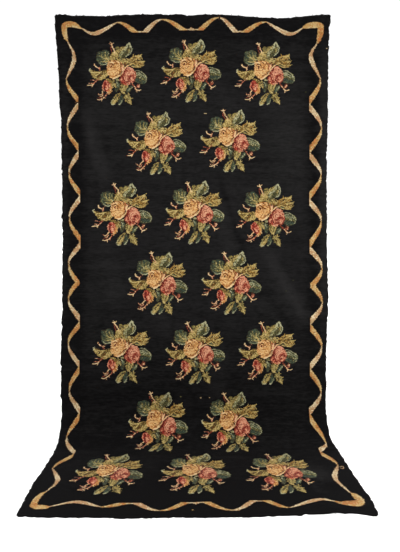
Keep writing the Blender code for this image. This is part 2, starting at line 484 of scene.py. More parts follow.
# Oak-like leaf to the right: four pointed lobes, a pale midrib and pale tips
OAK_LEAF = [
    leaf((64, 72), (166, 132), 23, "gold", 0.34, 0.34, 0.1, 0.1, lean=1.3, lobes=4, cut=0.38,
         ripple=(5, 1.5, 0.27)),
    leaf((62, 68), (182, 82), 28, "gold", 0.26, 0.34, 0.15, 0.1, lean=1.4, lobes=5, cut=0.36,
         ripple=(6, 1.5, 0.28)),
    leaf((72, 66), (168, 50), 15, "gold", 0.32, 0.34, -0.1, 0.1, lean=1.3, lobes=4, cut=0.38,
         ripple=(5, 1.5, 0.27)),
    leaf((78, 84), (120, 128), 14, "gold", 0.45, 0.25, 0, 0.15, lobes=2, cut=0.2, ripple=(3, 1, 0.14)),
    petal((152, 106), (15, 10), 20, "gold", 0.4, 0.2, 0, 0.1, ripple=(3, 0, 0.15)),
    petal((130, 84), (25, 12), -15, "gold", 0.3, 0.35, 0, 0.1, ripple=(3, 0, 0.2)),
    stroke([(88, 80), (112, 90), (136, 106), (156, 120)], 3, 3, "olive", 0, 0.2),
    stroke([(104, 72), (132, 72), (160, 74)], 3, 3, "olive", 0, 0.2),
    stroke([(100, 96), (106, 112), (112, 122)], 4, 3, "shadow"),
    stroke([(138, 94), (150, 94), (166, 100)], 4, 4, "shadow"),
    petal((108, 58), (14, 8), -15, "teal", 0.55, 0, 0, 0.1),
    stroke([(58, 54), (76, 60), (94, 71), (108, 75), (122, 64), (142, 58)], 7, 4, "straw", 0.8, -0.4, 0,
           -0.3),
    stroke([(96, 88), (120, 98), (150, 116), (168, 130)], 4, 4, "khaki", 0.6, 0.35),
    stroke([(130, 84), (156, 84), (180, 86)], 4, 4, "khaki", 0.5, 0.4),
    stroke([(144, 120), (158, 130), (172, 142)], 11, 3, "straw", 0.5, 0.3, 0, -0.4),
    stroke([(164, 126), (170, 112), (176, 106)], 6, 3, "straw", 0.5, 0, 0, -0.2),
    stroke([(160, 90), (176, 92), (190, 96)], 10, 3, "straw", 0.4, 0.4, 0, -0.4),
    stroke([(156, 60), (172, 62), (186, 70)], 8, 3, "straw", 0.3, 0.3, 0, -0.3),
    stroke([(108, 116), (112, 128), (112, 140)], 9, 3, "gold", 0.6, 0.2, 0, -0.2),
    stroke([(96, 56), (124, 48), (152, 48)], 5, 4, "straw", 0.5),
]
# Broad leaf at the far right: a light upper half with streaks, a dark lower half, a pale rim
BROAD_LEAF = [
    leaf((104, -12), (207, -38), 44, "sage", 0.2, 0.1, 0.2, 0.1, blunt=0.45, lobes=6, cut=0.07,
         ripple=(6, 2, 0.22)),
    leaf((108, -26), (207, -44), 35, "teal", 0.08, 0.12, 0.1, 0.25, blunt=0.42, bend=4, side=-1,
         ripple=(6, 2, 0.2)),
    petal((160, 8), (30, 9), -18, "moss", 0.35, 0.2, 0, 0.2, ripple=(4, 0, 0.15)),
    stroke([(114, 6), (132, 14), (152, 16)], 4, 3, "shadow"),
    stroke([(150, -2), (170, -12), (190, -24)], 3, 3, "moss"),
    stroke([(120, 2), (140, 6), (160, -2), (182, -12), (206, -32)], 7, 5, "rim", 0.6, -0.1, 0, -0.4),
    stroke([(126, -10), (146, -8), (170, -18)], 6, 4, "rim", 0.7, -0.2, 0, -0.2),
    stroke([(112, 18), (136, 24), (160, 18), (182, 4), (201, -18)], 4, 4, "rim", 0.35, 0.5),
    stroke([(140, 12), (160, 10)], 4, 3, "rim", 0.5),
    stroke([(201, -36), (201, -48), (192, -57)], 5, 4, "rim", 0.5, -0.3),
]
# Small dark leaves low down
LOW_LEAVES = [
    leaf((8, -56), (-4, -128), 18, "teal", 0.22, 0.1, 0.35, 0.25, blunt=0.5, lobes=3, cut=0.2,
         ripple=(4, 1, 0.15)),
    stroke([(-6, -58), (2, -70), (8, -88)], 9, 5, "rim", 0.8, -0.6, 0, -0.3),
    petal((6, -104), (9, 13), 0, "moss", 0.35, 0, 0, 0.2, ripple=(0, 2, 0.2)),
    leaf((108, -80), (66, -132), 16, "teal", 0.45, -0.2, 0.3, 0.2, blunt=0.5, lobes=3, cut=0.2,
         ripple=(4, 1, 0.15)),
    stroke([(84, -114), (94, -104), (104, -92)], 9, 6, "rim", 0.4, 0.3, 0, -0.3),
]
# Wing leaf to the left: toothed, with a curled pale tip
WING_LEAF = [
    leaf((-58, 0), (-200, 24), 32, "olive", 0.42, -0.05, 0.15, 0.1, bend=28, blunt=0.45, lobes=5, cut=0.28,
         ripple=(6, 1.5, 0.18)),
    leaf((-60, -2), (-140, -42), 20, "khaki", 0.55, 0.1, 0, -0.1, lobes=4, cut=0.25, ripple=(5, 1, 0.18)),
    petal((-98, 14), (26, 13), 5, "olive", 0.3, 0.2, ripple=(4, 0, 0.22)),
    petal((-126, -12), (22, 11), 25, "olive", 0, 0.3, 0, 0.2, ripple=(3, 0, 0.12)),
    petal((-74, -8), (16, 17), 30, "khaki", 0.62, 0.1, 0, -0.2, ripple=(0, 2, 0.15)),
    stroke([(-72, 22), (-96, 20), (-122, 20)], 4, 3, "shadow"),
    stroke([(-90, -10), (-104, -6), (-116, -4)], 4, 3, "shadow"),
    stroke([(-116, 16), (-134, 12), (-160, 8), (-184, 8), (-198, 22)], 7, 10, "khaki", 0.8, 0.25, 0, -0.4),
    stroke([(-130, 10), (-144, -8), (-162, -20)], 9, 5, "khaki", 0.95, -0.1, 0, -0.3),
    stroke([(-100, -2), (-112, -22), (-110, -40)], 6, 4, "khaki", 0.9, 0, 0, -0.2),
    stroke([(-84, 2), (-92, -18), (-86, -34)], 6, 4, "khaki", 0.85, 0, 0, -0.2),
    stroke([(-118, -8), (-132, -22)], 5, 4, "brown", 0.1),
    stroke([(-193, 34), (-201, 26), (-198, 12)], 6, 5, "rim", 0.95, 0, 0, -0.4),
]
# Sprig at the bottom: a fluted bract, two lower leaves and a toothed one
SPRIG = [
    leaf((58, -46), (40, -134), 31, "khaki_sage", 0.28, 0.45, 0, 0.1, lean=0.85, blunt=0.5, lobes=4,
         cut=0.22, ripple=(0, 2.5, 0.18)),
    petal((52, -58), (28, 18), 0, "tan", 0.1, 0.15, ripple=(5, 0, 0.15)),
    stroke([(36, -62), (35, -86), (34, -108)], 6, 3, "olive", 0.2, 0.2),
    stroke([(50, -62), (47, -86), (42, -110)], 6, 4, "straw_sage", 0.9, 0.1, 0, -0.2),
    stroke([(64, -66), (59, -86), (52, -106)], 6, 3, "olive", 0.2, 0.2),
    stroke([(78, -66), (72, -86), (62, -104)], 6, 4, "straw_sage", 0.9, 0.1, 0, -0.2),
    stroke([(36, -118), (40, -132)], 9, 9, "khaki", 0.8, 0, 0, -0.2),
    leaf((24, -130), (-38, -219), 23, "khaki_sage", 0.62, 0.3, 0.15, 0.15, bend=-3, lean=1.05, blunt=0.55,
         lobes=5, cut=0.22, ripple=(5, 1.5, 0.2)),
    stroke([(18, -140), (-10, -176), (-30, -212)], 5, 3, "gold", 0, 0.2),
    petal((-14, -172), (13, 5), 55, "olive", 0.05, 0, 0, 0.1),
    petal((0, -152), (9, 5), 50, "teal", 0.2, 0, 0, 0.1),
    stroke([(-2, -166), (-18, -194), (-30, -214)], 7, 9, "straw_sage", 0.7, 0.35, 0, -0.3),
    stroke([(-24, -170), (-36, -190), (-42, -204), (-34, -216), (-16, -212)], 4, 6, "rim", 0.3, 0.65, 0,
           -0.3),
    leaf((33, -136), (12, -216), 15, "teal", 0, 0.3, 0.1, 0.15, blunt=0.5, lobes=3, cut=0.2,
         ripple=(4, 1, 0.12)),
    stroke([(40, -170), (34, -190), (22, -206), (13, -211)], 4, 9, "rim", 0.25, 0.6, 0, -0.3),
    stroke([(46, -126), (56, -142), (70, -152)], 8, 8, "straw", 0.8, 0, 0, -0.3),
    stroke([(78, -132), (78, -150)], 6, 7, "khaki", 0.8, 0, 0, -0.2),
    leaf((50, -136), (98, -208), 26, "khaki_sage", 0.34, 0.45, 0.15, 0.15, lean=1.1, blunt=0.5, lobes=3,
         cut=0.3, ripple=(4, 1.5, 0.24)),
    stroke([(60, -158), (50, -162), (43, -168)], 9, 3, "khaki_sage", 0.5, 0.3, 0, -0.2),
    stroke([(70, -180), (62, -186), (57, -193)], 9, 3, "khaki_sage", 0.5, 0.3, 0, -0.2),
    stroke([(76, -150), (84, -146), (91, -142)], 9, 3, "straw_sage", 0.5, 0.4, 0, -0.2),
    stroke([(90, -172), (97, -170), (104, -167)], 9, 3, "straw_sage", 0.5, 0.4, 0, -0.2),
    stroke([(84, -188), (94, -204), (99, -214)], 11, 4, "straw_sage", 0.7, 0.3, 0, -0.2),
    stroke([(58, -150), (76, -174), (93, -200)], 5, 6, "straw", 0.5, 0.5, 0, -0.2),
    petal((72, -178), (7, 11), 30, "olive", 0.1, 0, 0, 0.2),
]
# Tendrils
TENDRIL_STROKES = [
    stroke([(-53, 192), (-51, 176), (-45, 160), (-38, 146)], 6, 4, "rust", 0.7, -0.2),
    *(stroke(points, first, last, "tendril", *shade) for points, first, last, *shade in TENDRILS),
    petal((149, -86), (8, 13), -25, "tendril", 0.3, 0.2, 0, -0.2),
    arc((150, -84), (12, 17), -25, 120, 290, 4, "rust", 0.7),
]
# Red bud and its calyx
RED_BUD = [
    petal((-46, -86), (20, 33), -15, "olive", 0.3, 0.2, 0, 0.1, ripple=(4, 0, 0.2)),
    leaf((-46, -60), (-46, -138), 14, "tan", 0.5, 0.3, 0, 0.2, bend=-5, lobes=4, cut=0.3,
         ripple=(0, 2, 0.2)),
    leaf((-58, -96), (-60, -148), 8, "peach", 0, 0.5, lobes=3, cut=0.3),
    leaf((-42, -84), (-36, -128), 6, "peach", 0, 0.4, lobes=3, cut=0.3),
    stroke([(-44, -74), (-34, -84), (-28, -96)], 7, 3, "straw_sage", 0.6, 0.3, 0, -0.2),
    stroke([(-44, -92), (-34, -102), (-30, -112)], 7, 3, "peach", 0.1, 0.4, 0, -0.2),
    stroke([(-42, -56), (-32, -62), (-26, -72)], 7, 3, "straw_sage", 0.7, 0.2, 0, -0.2),
    leaf((-30, -38), (-8, -100), 12, "khaki_sage", 0.5, 0.4, 0, 0.15, lobes=3, cut=0.3,
         ripple=(3, 1, 0.15)),
    stroke([(-24, -60), (-22, -82), (-12, -98)], 4, 3, "straw", 0.7, 0, 0, -0.2),
    petal((-62, -44), (24, 9), -8, "khaki", 0.2, 0.2, ripple=(4, 0, 0.2)),
    petal((4, -42), (15, 10), 0, "sage", 0.6, ripple=(3, 0, 0.25)),
    petal((-48, -56), (18, 9), 0, "khaki", 0.15, 0.1, ripple=(4, 0, 0.2)),
    petal((-76, -88), (25, 40), 10, "coral", 0.14, 0.28, 0, -0.1, ripple=(2, 0, 0.26)),
    stroke([(-86, -54), (-99, -72), (-102, -92), (-92, -114)], 5, 5, "coral", 0.75, -0.15),
    petal((-84, -72), (11, 17), 10, "crimson", 0.2, 0.3, 0, 0.35),
    petal((-69, -98), (12, 19), 10, "coral", 0.72, 0, -0.2, -0.4, ripple=(0, 1.5, 0.2)),
    petal((-66, -108), (6, 8), 0, "coral", 0.99, 0, 0, -0.2),
    petal((-54, -84), (6, 16), 10, "coral", 0.7, 0, 0, -0.3),
    stroke([(-66, -62), (-62, -80), (-56, -106)], 4, 4, "crimson", 0.4, -0.3),
    stroke([(-90, -84), (-86, -100), (-76, -118)], 4, 4, "crimson", 0.2, 0.2),
    stroke([(-92, -92), (-88, -106), (-80, -122)], 5, 5, "hole", 0.1),
]
# Yellow rose: back petals, the heart, then the large front petal
YELLOW_ROSE = [
    petal((-20, 33), (58, 62), 0, "yellow", 0.55, 0, 0, -0.1, ripple=(0, 4, 0.1)),
    petal((-44, 62), (30, 32), 10, "yellow", 0.85, 0, 0.12, -0.35, ripple=(0, 2, 0.1)),
    petal((2, 66), (34, 26), -15, "yellow", 0.78, 0, 0.15, -0.35, ripple=(0, 2, 0.12)),
    petal((12, 44), (22, 34), -15, "yellow", 0.72, 0.1, 0.1, -0.35, ripple=(0, 2, 0.12)),
    arc((-48, 50), (24, 30), 0, 30, 220, 6, "peach", 0.75),
    arc((-45, 48), (16, 22), 0, -60, 200, 8, "brown", 0, 0.35),
    arc((-60, 52), (9, 18), 5, 60, 250, 4, "brown", 0.75),
    petal((-54, 40), (8, 11), 0, "yellow", 0.9, 0, 0, -0.4),
    petal((-46, 50), (7, 9), 0, "rust", 0.35, 0.2),
    arc((-10, 60), (28, 27), -20, 20, 165, 6, "peach", 0.6),
    arc((-12, 54), (17, 18), -20, 10, 150, 5, "brown", 0.4, 0.2),
    stroke([(-28, 88), (-16, 84), (-6, 74)], 6, 7, "brown", 0.3, 0.1),
    stroke([(10, 86), (18, 70), (22, 52), (18, 32)], 7, 8, "brown", 0.1, 0.5),
    stroke([(26, 76), (31, 62), (26, 40), (26, 24)], 5, 5, "rust", 0.8),
    stroke([(46, 84), (52, 70), (47, 50)], 9, 6, "brown", 0.05, 0.2),
    petal((35, 48), (7, 23), -14, "cream", 0.5, 0, 0, -0.4),
    petal((-36, -6), (38, 27), -12, "yellow", 0.8, 0.05, 0.1, -0.3, ripple=(0, 3, 0.1)),
    petal((-32, 8), (47, 30), -4, "yellow", 0.9, 0.03, 0.08, -0.35, ripple=(0, 3, 0.1)),
    stroke([(-74, 30), (-46, 36), (-18, 39), (8, 33)], 4, 4, "yellow", 0.95),
    stroke([(-66, 20), (-40, 26), (-14, 28)], 4, 4, "brown", 0.7),
    stroke([(-70, 6), (-56, -8), (-38, -18)], 3, 3, "tan", 0.75),
    stroke([(-50, 14), (-36, 4), (-26, -10)], 3, 3, "tan", 0.85),
    stroke([(-22, 22), (-10, 12), (-2, -2)], 3, 3, "tan", 0.75),
    petal((-10, -2), (30, 18), 30, "yellow", 0.88, 0, 0.12, -0.35, ripple=(0, 2, 0.07)),
    stroke([(18, 18), (4, 0), (-16, -16)], 6, 7, "brown", 0.35, 0.2),
    stroke([(-77, 12), (-68, -6), (-53, -20), (-34, -32)], 5, 6, "yellow", 0.9, 0, 0, -0.2),
    stroke([(-30, -22), (-18, -12), (-6, 4)], 4, 3, "brown", 0.6),
]
# Light petals between the roses
LIGHT_PETALS = [
    stroke([(72, 60), (61, 53), (50, 42)], 6, 9, "cream", 0.3, 0.4, 0, -0.4),
    stroke([(52, 44), (38, 27), (25, 13), (14, -4), (2, -18), (-14, -29), (-28, -34)], 9, 11, "cream", 0.7,
           0.3, 0, -0.5),
    stroke([(29, 22), (20, 8), (10, -6)], 6, 4, "hole", 0.5),
]
# Pink rose: outer petals, the ball, crimson folds, then the heart
PINK_ROSE = [
    petal((78, -14), (50, 60), 12, "rose", 0.36, 0.25, 0.1, -0.1, ripple=(0, 4, 0.22)),
    petal((40, -34), (24, 30), -30, "rose", 0.4, 0, 0.2, -0.2, ripple=(0, 2, 0.18)),
    petal((86, 26), (30, 22), -30, "rose", 0.85, 0, 0.1, -0.35, ripple=(0, 1.5, 0.1)),
    petal((70, -4), (31, 38), 10, "rose", 0.9, 0.05, 0.05, -0.4, ripple=(0, 2.5, 0.14)),
    petal((98, -32), (28, 30), 0, "rose", 0.62, 0, 0.1, -0.3, ripple=(0, 2, 0.18)),
    arc((74, -6), (34, 42), 10, 60, 250, 5, "rose", 0.85, -0.1),
    arc((78, -12), (45, 53), 10, -60, 70, 4, "rose", 0.35, 0.3),
    stroke([(62, 40), (50, 27), (42, 10), (37, -6)], 7, 10, "crimson", 0.3, -0.3, 0, 0.3),
    stroke([(36, -10), (44, -34), (56, -50), (70, -64)], 12, 5, "crimson", 0.1, 0.4, 0, 0.3),
    stroke([(28, -12), (20, -28), (17, -40)], 6, 5, "crimson", 0.2, 0.2),
    petal((30, -36), (8, 17), -20, "rose", 0.65, 0, 0, -0.4),
    stroke([(48, -20), (54, -38), (64, -50)], 4, 4, "rose", 0.9),
    arc((97, -30), (16, 19), 0, -50, 220, 8, "crimson", 0.35, 0.3),
    arc((94, -28), (8, 10), 0, 20, 300, 5, "crimson", 0.1, 0.1),
    petal((101, -36), (5, 8), 20, "rose", 0.75),
    stroke([(98, -56), (108, -45), (116, -32)], 6, 5, "rose", 0.85, 0, 0, -0.2),
    arc((72, -2), (27, 33), 10, 80, 200, 4, "crimson", 0.75),
    arc((72, -6), (20, 25), 10, 60, 220, 4, "crimson", 0.55, 0.2),
    arc((76, -10), (13, 17), 10, 20, 240, 4, "crimson", 0.45, 0.2),
    stroke([(58, 22), (74, 30), (92, 26)], 3, 4, "crimson", 0.85),
    stroke([(92, 6), (104, -2), (112, -14)], 4, 4, "crimson", 0.7),
    stroke([(50, 0), (52, -18), (60, -34)], 4, 3, "crimson", 0.55),
    stroke([(38, -22), (48, -42), (62, -56)], 5, 4, "crimson", 0.45, 0.2),
    stroke([(88, 16), (102, 12), (112, 2)], 4, 4, "rose", 0.99),
    stroke([(76, -34), (84, -40), (90, -50)], 4, 4, "rose", 0.05, 0.2),
    stroke([(80, -48), (88, -56), (98, -60)], 4, 4, "crimson", 0.6),
    stroke([(64, -68), (84, -70), (100, -64)], 6, 6, "rose", 0.8),
    stroke([(34, -50), (50, -66), (66, -78)], 9, 8, "coral", 0.15, 0.4),
]
# Dark gaps
DARK_GAPS = [
    petal((-65, -20), (10, 7), 15, "outline"),
    petal((122, -74), (4, 6), 0, "hole", 0.3),
    petal((-54, 89), (5, 7), 20, "hole", 0.4),
    petal((-8, 99), (6, 5), 0, "hole", 0.6),
    petal((9, 110), (5, 5), 0, "hole", 0.6),
    petal((66, 100), (9, 4), -30, "hole", 0.8),
    petal((-12, -62), (4, 9), 10, "hole", 0.3),
    petal((22, -56), (4, 12), 0, "hole", 0.6),
    petal((-22, -62), (5, 4), 20, "outline"),
    petal((-30, -110), (4, 12), -10, "outline"),
    petal((-118, 52), (12, 6), -20, "outline"),
    petal((96, -66), (9, 5), 30, "outline"),
    petal((118, 112), (10, 4), 35, "hole", 0.2),
    petal((48, 122), (7, 3), 35, "hole", 0.6),
]
BOUQUET = [
    *TENDRIL_OUTLINES, *ROUND_LEAF, *UPPER_LEAF, *KHAKI_LEAVES, *OAK_LEAF, *BROAD_LEAF, *LOW_LEAVES,
    *WING_LEAF, *SPRIG, *TENDRIL_STROKES, *RED_BUD, *YELLOW_ROSE, *LIGHT_PETALS, *PINK_ROSE, *DARK_GAPS,
]
BOUQUET_HALF = (0.2225, 0.2375)  # half of the room that a bouquet takes across and down

# The bouquets' middles (across, down), by the column they're in
BOUQUETS = {
    "left": [(-0.522, 0.411), (-0.491, 1.394), (-0.491, 2.357), (-0.492, 3.330)],
    "left_middle": [(-0.253, 0.898), (-0.239, 1.877), (-0.236, 2.856)],
    "middle": [(-0.008, 0.390), (0.017, 1.381), (0.023, 2.361), (0.025, 3.324)],
    "right_middle": [(0.265, 0.880), (0.275, 1.874), (0.272, 2.859)],
    "right": [(0.510, 0.411), (0.520, 1.401), (0.531, 2.364), (0.536, 3.323)],
}

# The ribbon's turning points (across, down), corner to corner. From both ends every other one is an outer
# turn, the first among them
LEFT_TURNS = [
    (-0.873, 0.178), (-0.825, 0.299), (-0.881, 0.446), (-0.803, 0.614), (-0.874, 0.782), (-0.799, 0.950),
    (-0.861, 1.104), (-0.791, 1.265), (-0.860, 1.419), (-0.788, 1.587), (-0.864, 1.741), (-0.803, 1.870),
    (-0.865, 1.986), (-0.792, 2.143), (-0.867, 2.301), (-0.796, 2.462), (-0.861, 2.630), (-0.791, 2.787),
    (-0.848, 2.939), (-0.763, 3.107), (-0.840, 3.282), (-0.770, 3.417), (-0.801, 3.520),
]
RIGHT_TURNS = [
    (0.876, 0.192), (0.830, 0.292), (0.898, 0.446), (0.825, 0.621), (0.905, 0.789), (0.827, 0.960),
    (0.902, 1.118), (0.825, 1.286), (0.903, 1.440), (0.826, 1.618), (0.906, 1.769), (0.841, 1.890),
    (0.909, 2.014), (0.832, 2.164), (0.906, 2.322), (0.831, 2.479), (0.902, 2.640), (0.823, 2.794),
    (0.897, 2.989), (0.841, 3.083), (0.905, 3.240), (0.845, 3.392), (0.893, 3.542),
]
TOP_TURNS = [
    (-0.778, 0.091), (-0.680, 0.128), (-0.526, 0.050), (-0.364, 0.116), (-0.211, 0.030), (-0.030, 0.100),
    (0.022, 0.100), (0.185, 0.017), (0.338, 0.114), (0.517, 0.047), (0.678, 0.131), (0.783, 0.085),
]
BOTTOM_TURNS = [
    (-0.746, 3.661), (-0.611, 3.618), (-0.470, 3.662), (-0.319, 3.632), (-0.154, 3.693), (0.010, 3.628),
    (0.055, 3.623), (0.222, 3.689), (0.378, 3.609), (0.529, 3.667), (0.693, 3.597), (0.782, 3.612),
]
# Each side's turns, whether it's upright, and how broad its pieces are next to the widths below
RIBBON_SIDES = (
    (LEFT_TURNS, True, 0.95),
    (RIGHT_TURNS, True, 1.07),
    (TOP_TURNS, False, 1.0),
    (BOTTOM_TURNS, False, 0.88),
)
MIDDLE_TURN = 11  # of the upright sides: one piece goes round it
# Each corner's points, and its widths there
CORNERS = [
    (
        [(-0.873, 0.178), (-0.885, 0.153), (-0.893, 0.121), (-0.895, 0.094), (-0.890, 0.070), (-0.858, 0.063),
         (-0.827, 0.067), (-0.801, 0.079), (-0.778, 0.091)],
        (0.010, 0.026, 0.034, 0.036, 0.038, 0.040, 0.036, 0.024, 0.009),
    ),
    (
        [(0.786, 0.083), (0.815, 0.073), (0.850, 0.069), (0.880, 0.069), (0.897, 0.079), (0.899, 0.100),
         (0.895, 0.136), (0.887, 0.169), (0.876, 0.192)],
        (0.021, 0.037, 0.041, 0.041, 0.042, 0.041, 0.038, 0.026, 0.010),
    ),
    (
        [(-0.801, 3.522), (-0.820, 3.548), (-0.829, 3.585), (-0.832, 3.620), (-0.828, 3.648), (-0.809, 3.661),
         (-0.786, 3.663), (-0.758, 3.664), (-0.744, 3.660)],
        (0.005, 0.022, 0.032, 0.034, 0.034, 0.034, 0.034, 0.026, 0.006),
    ),
    (
        [(0.894, 3.543), (0.906, 3.556), (0.915, 3.582), (0.919, 3.606), (0.905, 3.632), (0.877, 3.638),
         (0.842, 3.636), (0.809, 3.630), (0.783, 3.613)],
        (0.011, 0.032, 0.042, 0.040, 0.046, 0.050, 0.046, 0.026, 0.008),
    ),
]
# A strand's widths, from its pinched outer turn to its blunt inner end
STRAND_WIDTHS = (0.003, 0.014, 0.024, 0.029, 0.031, 0.029)
LONG_PIECE_WIDTHS = (0.004, 0.011, 0.019, 0.029, 0.020, 0.004)  # from a corner to its second outer turn
STRAND_BEND = 0.62 * pi  # how far a strand sways from straight along the border to slanting inwards
SIDE_MEETING = 0.026  # a strand of the upright sides crosses its inner line this far from the turn
END_MEETING = 0.038  # and one at the top or bottom, where a thread bridges the gap
INNER_MARGIN = 0.005  # a blunt end is cut this far past the turn
THREAD_HALF = 0.019  # half the length of a thread that bridges a gap
THREAD_WIDTHS = (0.005, 0.006, 0.005)
RIBBON_OUTLINE = 0.005  # how much wider than the ribbon its dark outline is

# Lesser bits of the ribbon: their points, their widths and their colours
RIBBON_BITS = [
    ([(-0.043, 0.101), (0.034, 0.101)], THREAD_WIDTHS, "pale"),
    ([(-0.018, 0.098), (0.006, 0.098)], (0.010, 0.010), "pale"),
    ([(-0.006, 0.094), (-0.006, 0.086)], (0.012, 0.004), "pale"),
    ([(-0.010, 3.627), (0.065, 3.623)], THREAD_WIDTHS, "pale"),
    ([(0.019, 3.627), (0.043, 3.627)], (0.010, 0.010), "pale"),
    ([(0.031, 3.631), (0.031, 3.638)], (0.012, 0.004), "pale"),
    ([(0.214, 3.690), (0.262, 3.690)], THREAD_WIDTHS, "pale"),
    ([(0.911, 3.262), (0.926, 3.256), (0.931, 3.270), (0.922, 3.284), (0.912, 3.276)], (0.004, 0.004),
     "pale"),
    ([(-0.814, 0.611), (-0.794, 0.611)], (0.006, 0.006), "ground"),
    ([(0.190, 0.008), (0.190, 0.026)], (0.010, 0.010), "ground"),
]

# Stray stitches: the place across and down, how far they run, and their wool
STRAYS = [
    ((0.083, 0.684), 0.020, "flax"),
    ((-0.085, 2.665), 0.010, "sage"),
    ((0.055, 2.672), 0.010, "flax"),
    ((0.118, 2.672), 0.008, "flax"),
    ((0.706, 1.856), 0.010, "moss"),
    ((0.654, 1.928), 0.008, "moss"),
    ((0.938, 0.230), 0.008, "flax"),
    ((0.789, 0.535), 0.010, "moss"),
    ((0.013, 3.684), 0.008, "honey"),
]


CURVE_STEPS = 6  # straight pieces between two given points of a curve


def curve_through(points):
    """Points on a smooth curve through the given ones."""
    points = np.array(points, float)
    ends = 2 * points[0] - points[1], 2 * points[-1] - points[-2]
    knots = np.vstack([ends[0], points, ends[1]])
    made = []
    for a, b, c, d in zip(knots, knots[1:], knots[2:], knots[3:], strict=False):
        for t in np.linspace(0, 1, CURVE_STEPS, endpoint=False):
            square, cube = 2 * a - 5 * b + 4 * c - d, 3 * b - a - 3 * c + d
            made.append(0.5 * (2 * b + (c - a) * t + square * t**2 + cube * t**3))
    return np.array(made + [points[-1]])


# Each field function gives the stitches that a shape covers, and then how far along it, to its side and
# towards its rim each stitch lies


def leaf_field(sizes, u, v):
    base, tip = np.array(sizes["base"], float), np.array(sizes["tip"], float)
    length = np.hypot(*(tip - base))
    run = (tip - base) / length
    along = ((u - base[0]) * run[0] + (v - base[1]) * run[1]) / length
    share = clamp(along)
    aside = (v - base[1]) * run[0] - (u - base[0]) * run[1] - sizes["bend"] * 4 * share * (1 - share)
    width = sizes["half"] * np.sin(pi * share ** sizes["lean"]) ** sizes["blunt"]
    if sizes["lobes"]:
        width = width * (1 - sizes["cut"] * (1 - share * sizes["lobes"] % 1))
    aside = aside / np.maximum(width, TINY)
    inside = (along > 0) & (along < 1) & (np.abs(aside) < 1)
    if sizes["side"]:
        inside &= aside * sizes["side"] > 0
    return inside, share, np.clip(aside, -1, 1), clamp(np.abs(aside))


def round_place(sizes, u, v):
    """Coordinates in which an ellipse is the unit circle."""
    turn = radians(sizes["turn"])
    du, dv = u - sizes["centre"][0], v - sizes["centre"][1]
    x = (du * cos(turn) + dv * sin(turn)) / sizes["radii"][0]
    y = (dv * cos(turn) - du * sin(turn)) / sizes["radii"][1]
    return x, y


def petal_field(sizes, u, v):
    x, y = round_place(sizes, u, v)
    away = np.hypot(x, y)
    return away < 1, clamp((x + 1) / 2), np.clip(y, -1, 1), clamp(away)


def arc_field(sizes, u, v):
    x, y = round_place(sizes, u, v)
    away = np.hypot(x, y) - 1
    span = sizes["end"] - sizes["start"]
    share = (np.degrees(np.arctan2(y, x)) - sizes["start"]) % 360 / span
    half = sizes["width"] / sum(sizes["radii"]) * np.sin(pi * clamp(share)) ** 0.5
    inside = (share < 1) & (np.abs(away) < half)
    return inside, clamp(share), np.clip(away / np.maximum(half, TINY), -1, 1), 0 * share


def stroke_field(sizes, u, v):
    points = curve_through(sizes["points"])
    share = np.linspace(0, 1, len(points))
    half = np.interp(share, np.linspace(0, 1, len(sizes["widths"])), sizes["widths"]) / 2
    best = np.full(u.shape, np.inf)
    along = np.zeros(u.shape)
    aside = np.zeros(u.shape)
    for i, (start, run) in enumerate(zip(points, np.diff(points, axis=0), strict=False)):
        du, dv = u - start[0], v - start[1]
        t = clamp((du * run[0] + dv * run[1]) / (run @ run))
        away = np.hypot(du - t * run[0], dv - t * run[1]) / (half[i] + (half[i + 1] - half[i]) * t)
        nearer = away < best
        best = np.where(nearer, away, best)
        along = np.where(nearer, share[i] + (share[i + 1] - share[i]) * t, along)
        aside = np.where(nearer, np.sign(run[0] * dv - run[1] * du) * away, aside)
    return best < 1, along, np.clip(aside, -1, 1), clamp(best)


FIELDS = {"leaf": leaf_field, "petal": petal_field, "arc": arc_field, "stroke": stroke_field}


def room(kind, sizes):
    """A box around a shape: its lowest and highest corners."""
    if kind == "stroke":
        points = curve_through(sizes["points"])
        margin = max(sizes["widths"]) / 2
    elif kind == "leaf":
        points = np.array([sizes["base"], sizes["tip"]], float)
        margin = sizes["half"] + abs(sizes["bend"])
    else:
        points = np.array([sizes["centre"]], float)
        margin = max(sizes["radii"]) + sizes.get("width", 0)
    return points.min(0) - margin, points.max(0) + margin


# How strong the hatching is along the rows, from row to row, in small patches, and where a patch stands out
ALONG_ROWS = 0.4
ROW_TO_ROW = 0.3
IN_PATCHES = 0.95
ODD_PATCHES = 3.4
PATCH = (2, 3)  # its stitches down and across
ODD_PAST = 1.25  # a patch stands out past this many deviations
SPREAD = np.array([0.15, 0.35, 0.5, 0.35, 0.15])  # how much each stitch takes from those beside it


def patches(shape, size, rng):
    """Seeded noise in small blocks of stitches, so many rows high and columns wide."""
    blocks = rng.normal(size=(shape[0] // size[0] + 1, shape[1] // size[1] + 1))
    return np.kron(blocks, np.ones(size))[: shape[0], : shape[1]]


def hatching(shape, rng):
    """Uneven shading that runs along the rows, as wefts do, and in small patches."""
    grain = rng.normal(size=shape)
    weights = SPREAD / np.sqrt((SPREAD**2).sum())
    spread = sum(np.roll(grain, k - len(SPREAD) // 2, axis=1) * weight for k, weight in enumerate(weights))
    blocks = patches(shape, PATCH, rng)
    odd_ones = np.sign(blocks) * np.maximum(np.abs(blocks) - ODD_PAST, 0)
    rows = rng.normal(size=(shape[0], 1))
    return ALONG_ROWS * spread + ROW_TO_ROW * rows + IN_PATCHES * blocks + ODD_PATCHES * odd_ones


# A broken dark line goes round a leaf, a petal or an arc of these ramps
LEAF_RAMPS = ("teal", "sage", "khaki_sage", "moss", "olive", "gold", "khaki")
LEAF_LINE_GAPS = -0.08  # the line is left out where the hatching is darker than this
DARK_SPECK = -0.34  # and a stitch anywhere in the shape turns dark where the hatching is darker than this


